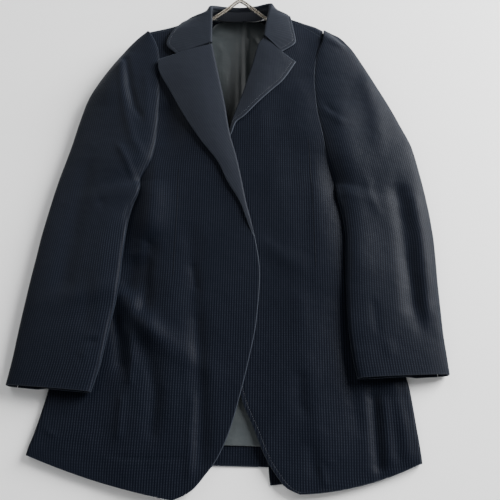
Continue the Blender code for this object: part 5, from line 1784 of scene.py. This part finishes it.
def stitch_tree():
    tree, given = growing_tree("stitch_row", [
        ("Pitch", "Float", STITCH_PITCH),
        ("Length", "Float", STITCH_LENGTH),
        ("Thickness", "Float", STITCH_THICK),
        ("Seed", "Int", STITCH_SEED),
    ])
    path = given["Curve"]
    spots = path.node(
        "GeometryNodeCurveToPoints", {"Curve": path, "Length": given["Pitch"]}, mode="LENGTH"
    )
    turn = path.node(
        "FunctionNodeAlignRotationToVector", {"Vector": spots.other("Tangent")}, axis="Z"
    )
    bead = path.node("GeometryNodeMeshUVSphere", {"Segments": 6, "Rings": 5, "Radius": 0.5})
    least, most = STITCH_VARIES
    vary = path.node(
        "FunctionNodeRandomValue", {2: least, 3: most, "Seed": given["Seed"]}, out=1, data_type="FLOAT"
    )
    thick = given["Thickness"]
    size = path.node("ShaderNodeCombineXYZ", {"X": thick, "Y": thick, "Z": given["Length"] * vary})
    each = path.node(
        "GeometryNodeInstanceOnPoints",
        {"Points": spots, "Instance": bead, "Rotation": turn, "Scale": size},
    )
    give_out(tree, each, given["Finish"])
    return tree


stitches = stitch_tree()
inset = STITCH_INSET
over_edge = inset_path(right_grid, "first", inset, 0.0, inset)
over_edge = over_edge[over_edge[:, 1] < LAPEL_RIGHT[-1][1]]
over_hem = inset_path(right_grid, "hem", inset, inset, 0.0)
over_hem = over_hem[over_hem[:, 0] > OVER_HEM_END]
under_edge = inset_path(left_grid, "first", inset, 0.0, inset)
under_edge = under_edge[under_edge[:, 1] < LAPEL_LEFT[-1][1] - 4]
under_hem = inset_path(left_grid, "hem", inset, inset, 0.0)
under_hem = under_hem[under_hem[:, 0] < UNDER_HEM_END]
over_top = inset_path(lapel_right_grid, "top", inset, STITCH_SHORT, inset, TURNED)
under_top = inset_path(lapel_left_grid, "top", inset, STITCH_SHORT, inset, TURNED)
rows = [
    ("stitch_over_edge", over_edge),
    ("stitch_over_hem", over_hem),
    ("stitch_under_edge", under_edge),
    ("stitch_under_hem", under_hem),
    ("stitch_lapel_over", inset_path(lapel_right_grid, "last", inset, inset, STITCH_SHORT, TURNED)),
    ("stitch_lapel_over_top", over_top[over_top[:, 0] < -GORGE_RIGHT]),
    ("stitch_lapel_under", inset_path(lapel_left_grid, "last", inset, inset, STITCH_SHORT, TURNED)),
    ("stitch_lapel_under_top", under_top[under_top[:, 0] > GORGE_LEFT]),
    ("stitch_collar", inset_path(leaf_grid, "last", inset, inset, inset, TURNED)),
]
stitch_pieces = []
for name, path in rows:
    stitch_pieces.append(grown(path_object(name, path), stitches, {"Finish": sewing_thread}))

# %% [markdown]
# ## What each piece stands for
#
# Every cloth shell replaces its plain solid in the picture, while the solid stays for touch.

# %% Ride and replace
# piece, solid that it replaces, width and length of its cut in metres, what it rests on
SHEETS = [
    (front_right, "front_right", (0.290, 0.735), ["back_cloth_right"]),
    (front_left, "front_left", (0.270, 0.735), ["back_cloth_left"]),
    (lapel_right, "lapel_right", (0.098, 0.300), ["front_over"]),
    (lapel_left, "lapel_left", (0.072, 0.170), ["front_under"]),
    (collar_leaf, "collar_leaf", (0.060, 0.330), ["front_over", "front_under"]),
    (collar_stand, "collar_stand", (0.016, 0.250), ["collar_leaf_cloth"]),
    (back_right, "back_right", (0.290, 0.740), ["floor"]),
    (back_left, "back_left", (0.240, 0.760), ["floor"]),
    (lining_cloth, "back_lining", (0.430, 0.690), ["back_cloth_right", "back_cloth_left"]),
    (sleeve_parts["upper", "right"], "upper_sleeve_right", (0.180, 0.590), ["sleeve_under_right"]),
    (sleeve_parts["under", "right"], "under_sleeve_right", (0.120, 0.500), ["floor"]),
    (sleeve_parts["upper", "left"], "upper_sleeve_left", (0.180, 0.570), ["sleeve_under_left"]),
    (sleeve_parts["under", "left"], "under_sleeve_left", (0.120, 0.500), ["floor"]),
]
for piece, node, size, rests in SHEETS:
    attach(piece, "root")
    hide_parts(node)
for piece, node in zip(wires, ("hanger_wire_upper", "hanger_wire_lower", "hanger_hook")):
    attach(piece, "root")
    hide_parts(node)
for piece in stitch_pieces:
    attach(piece, "root")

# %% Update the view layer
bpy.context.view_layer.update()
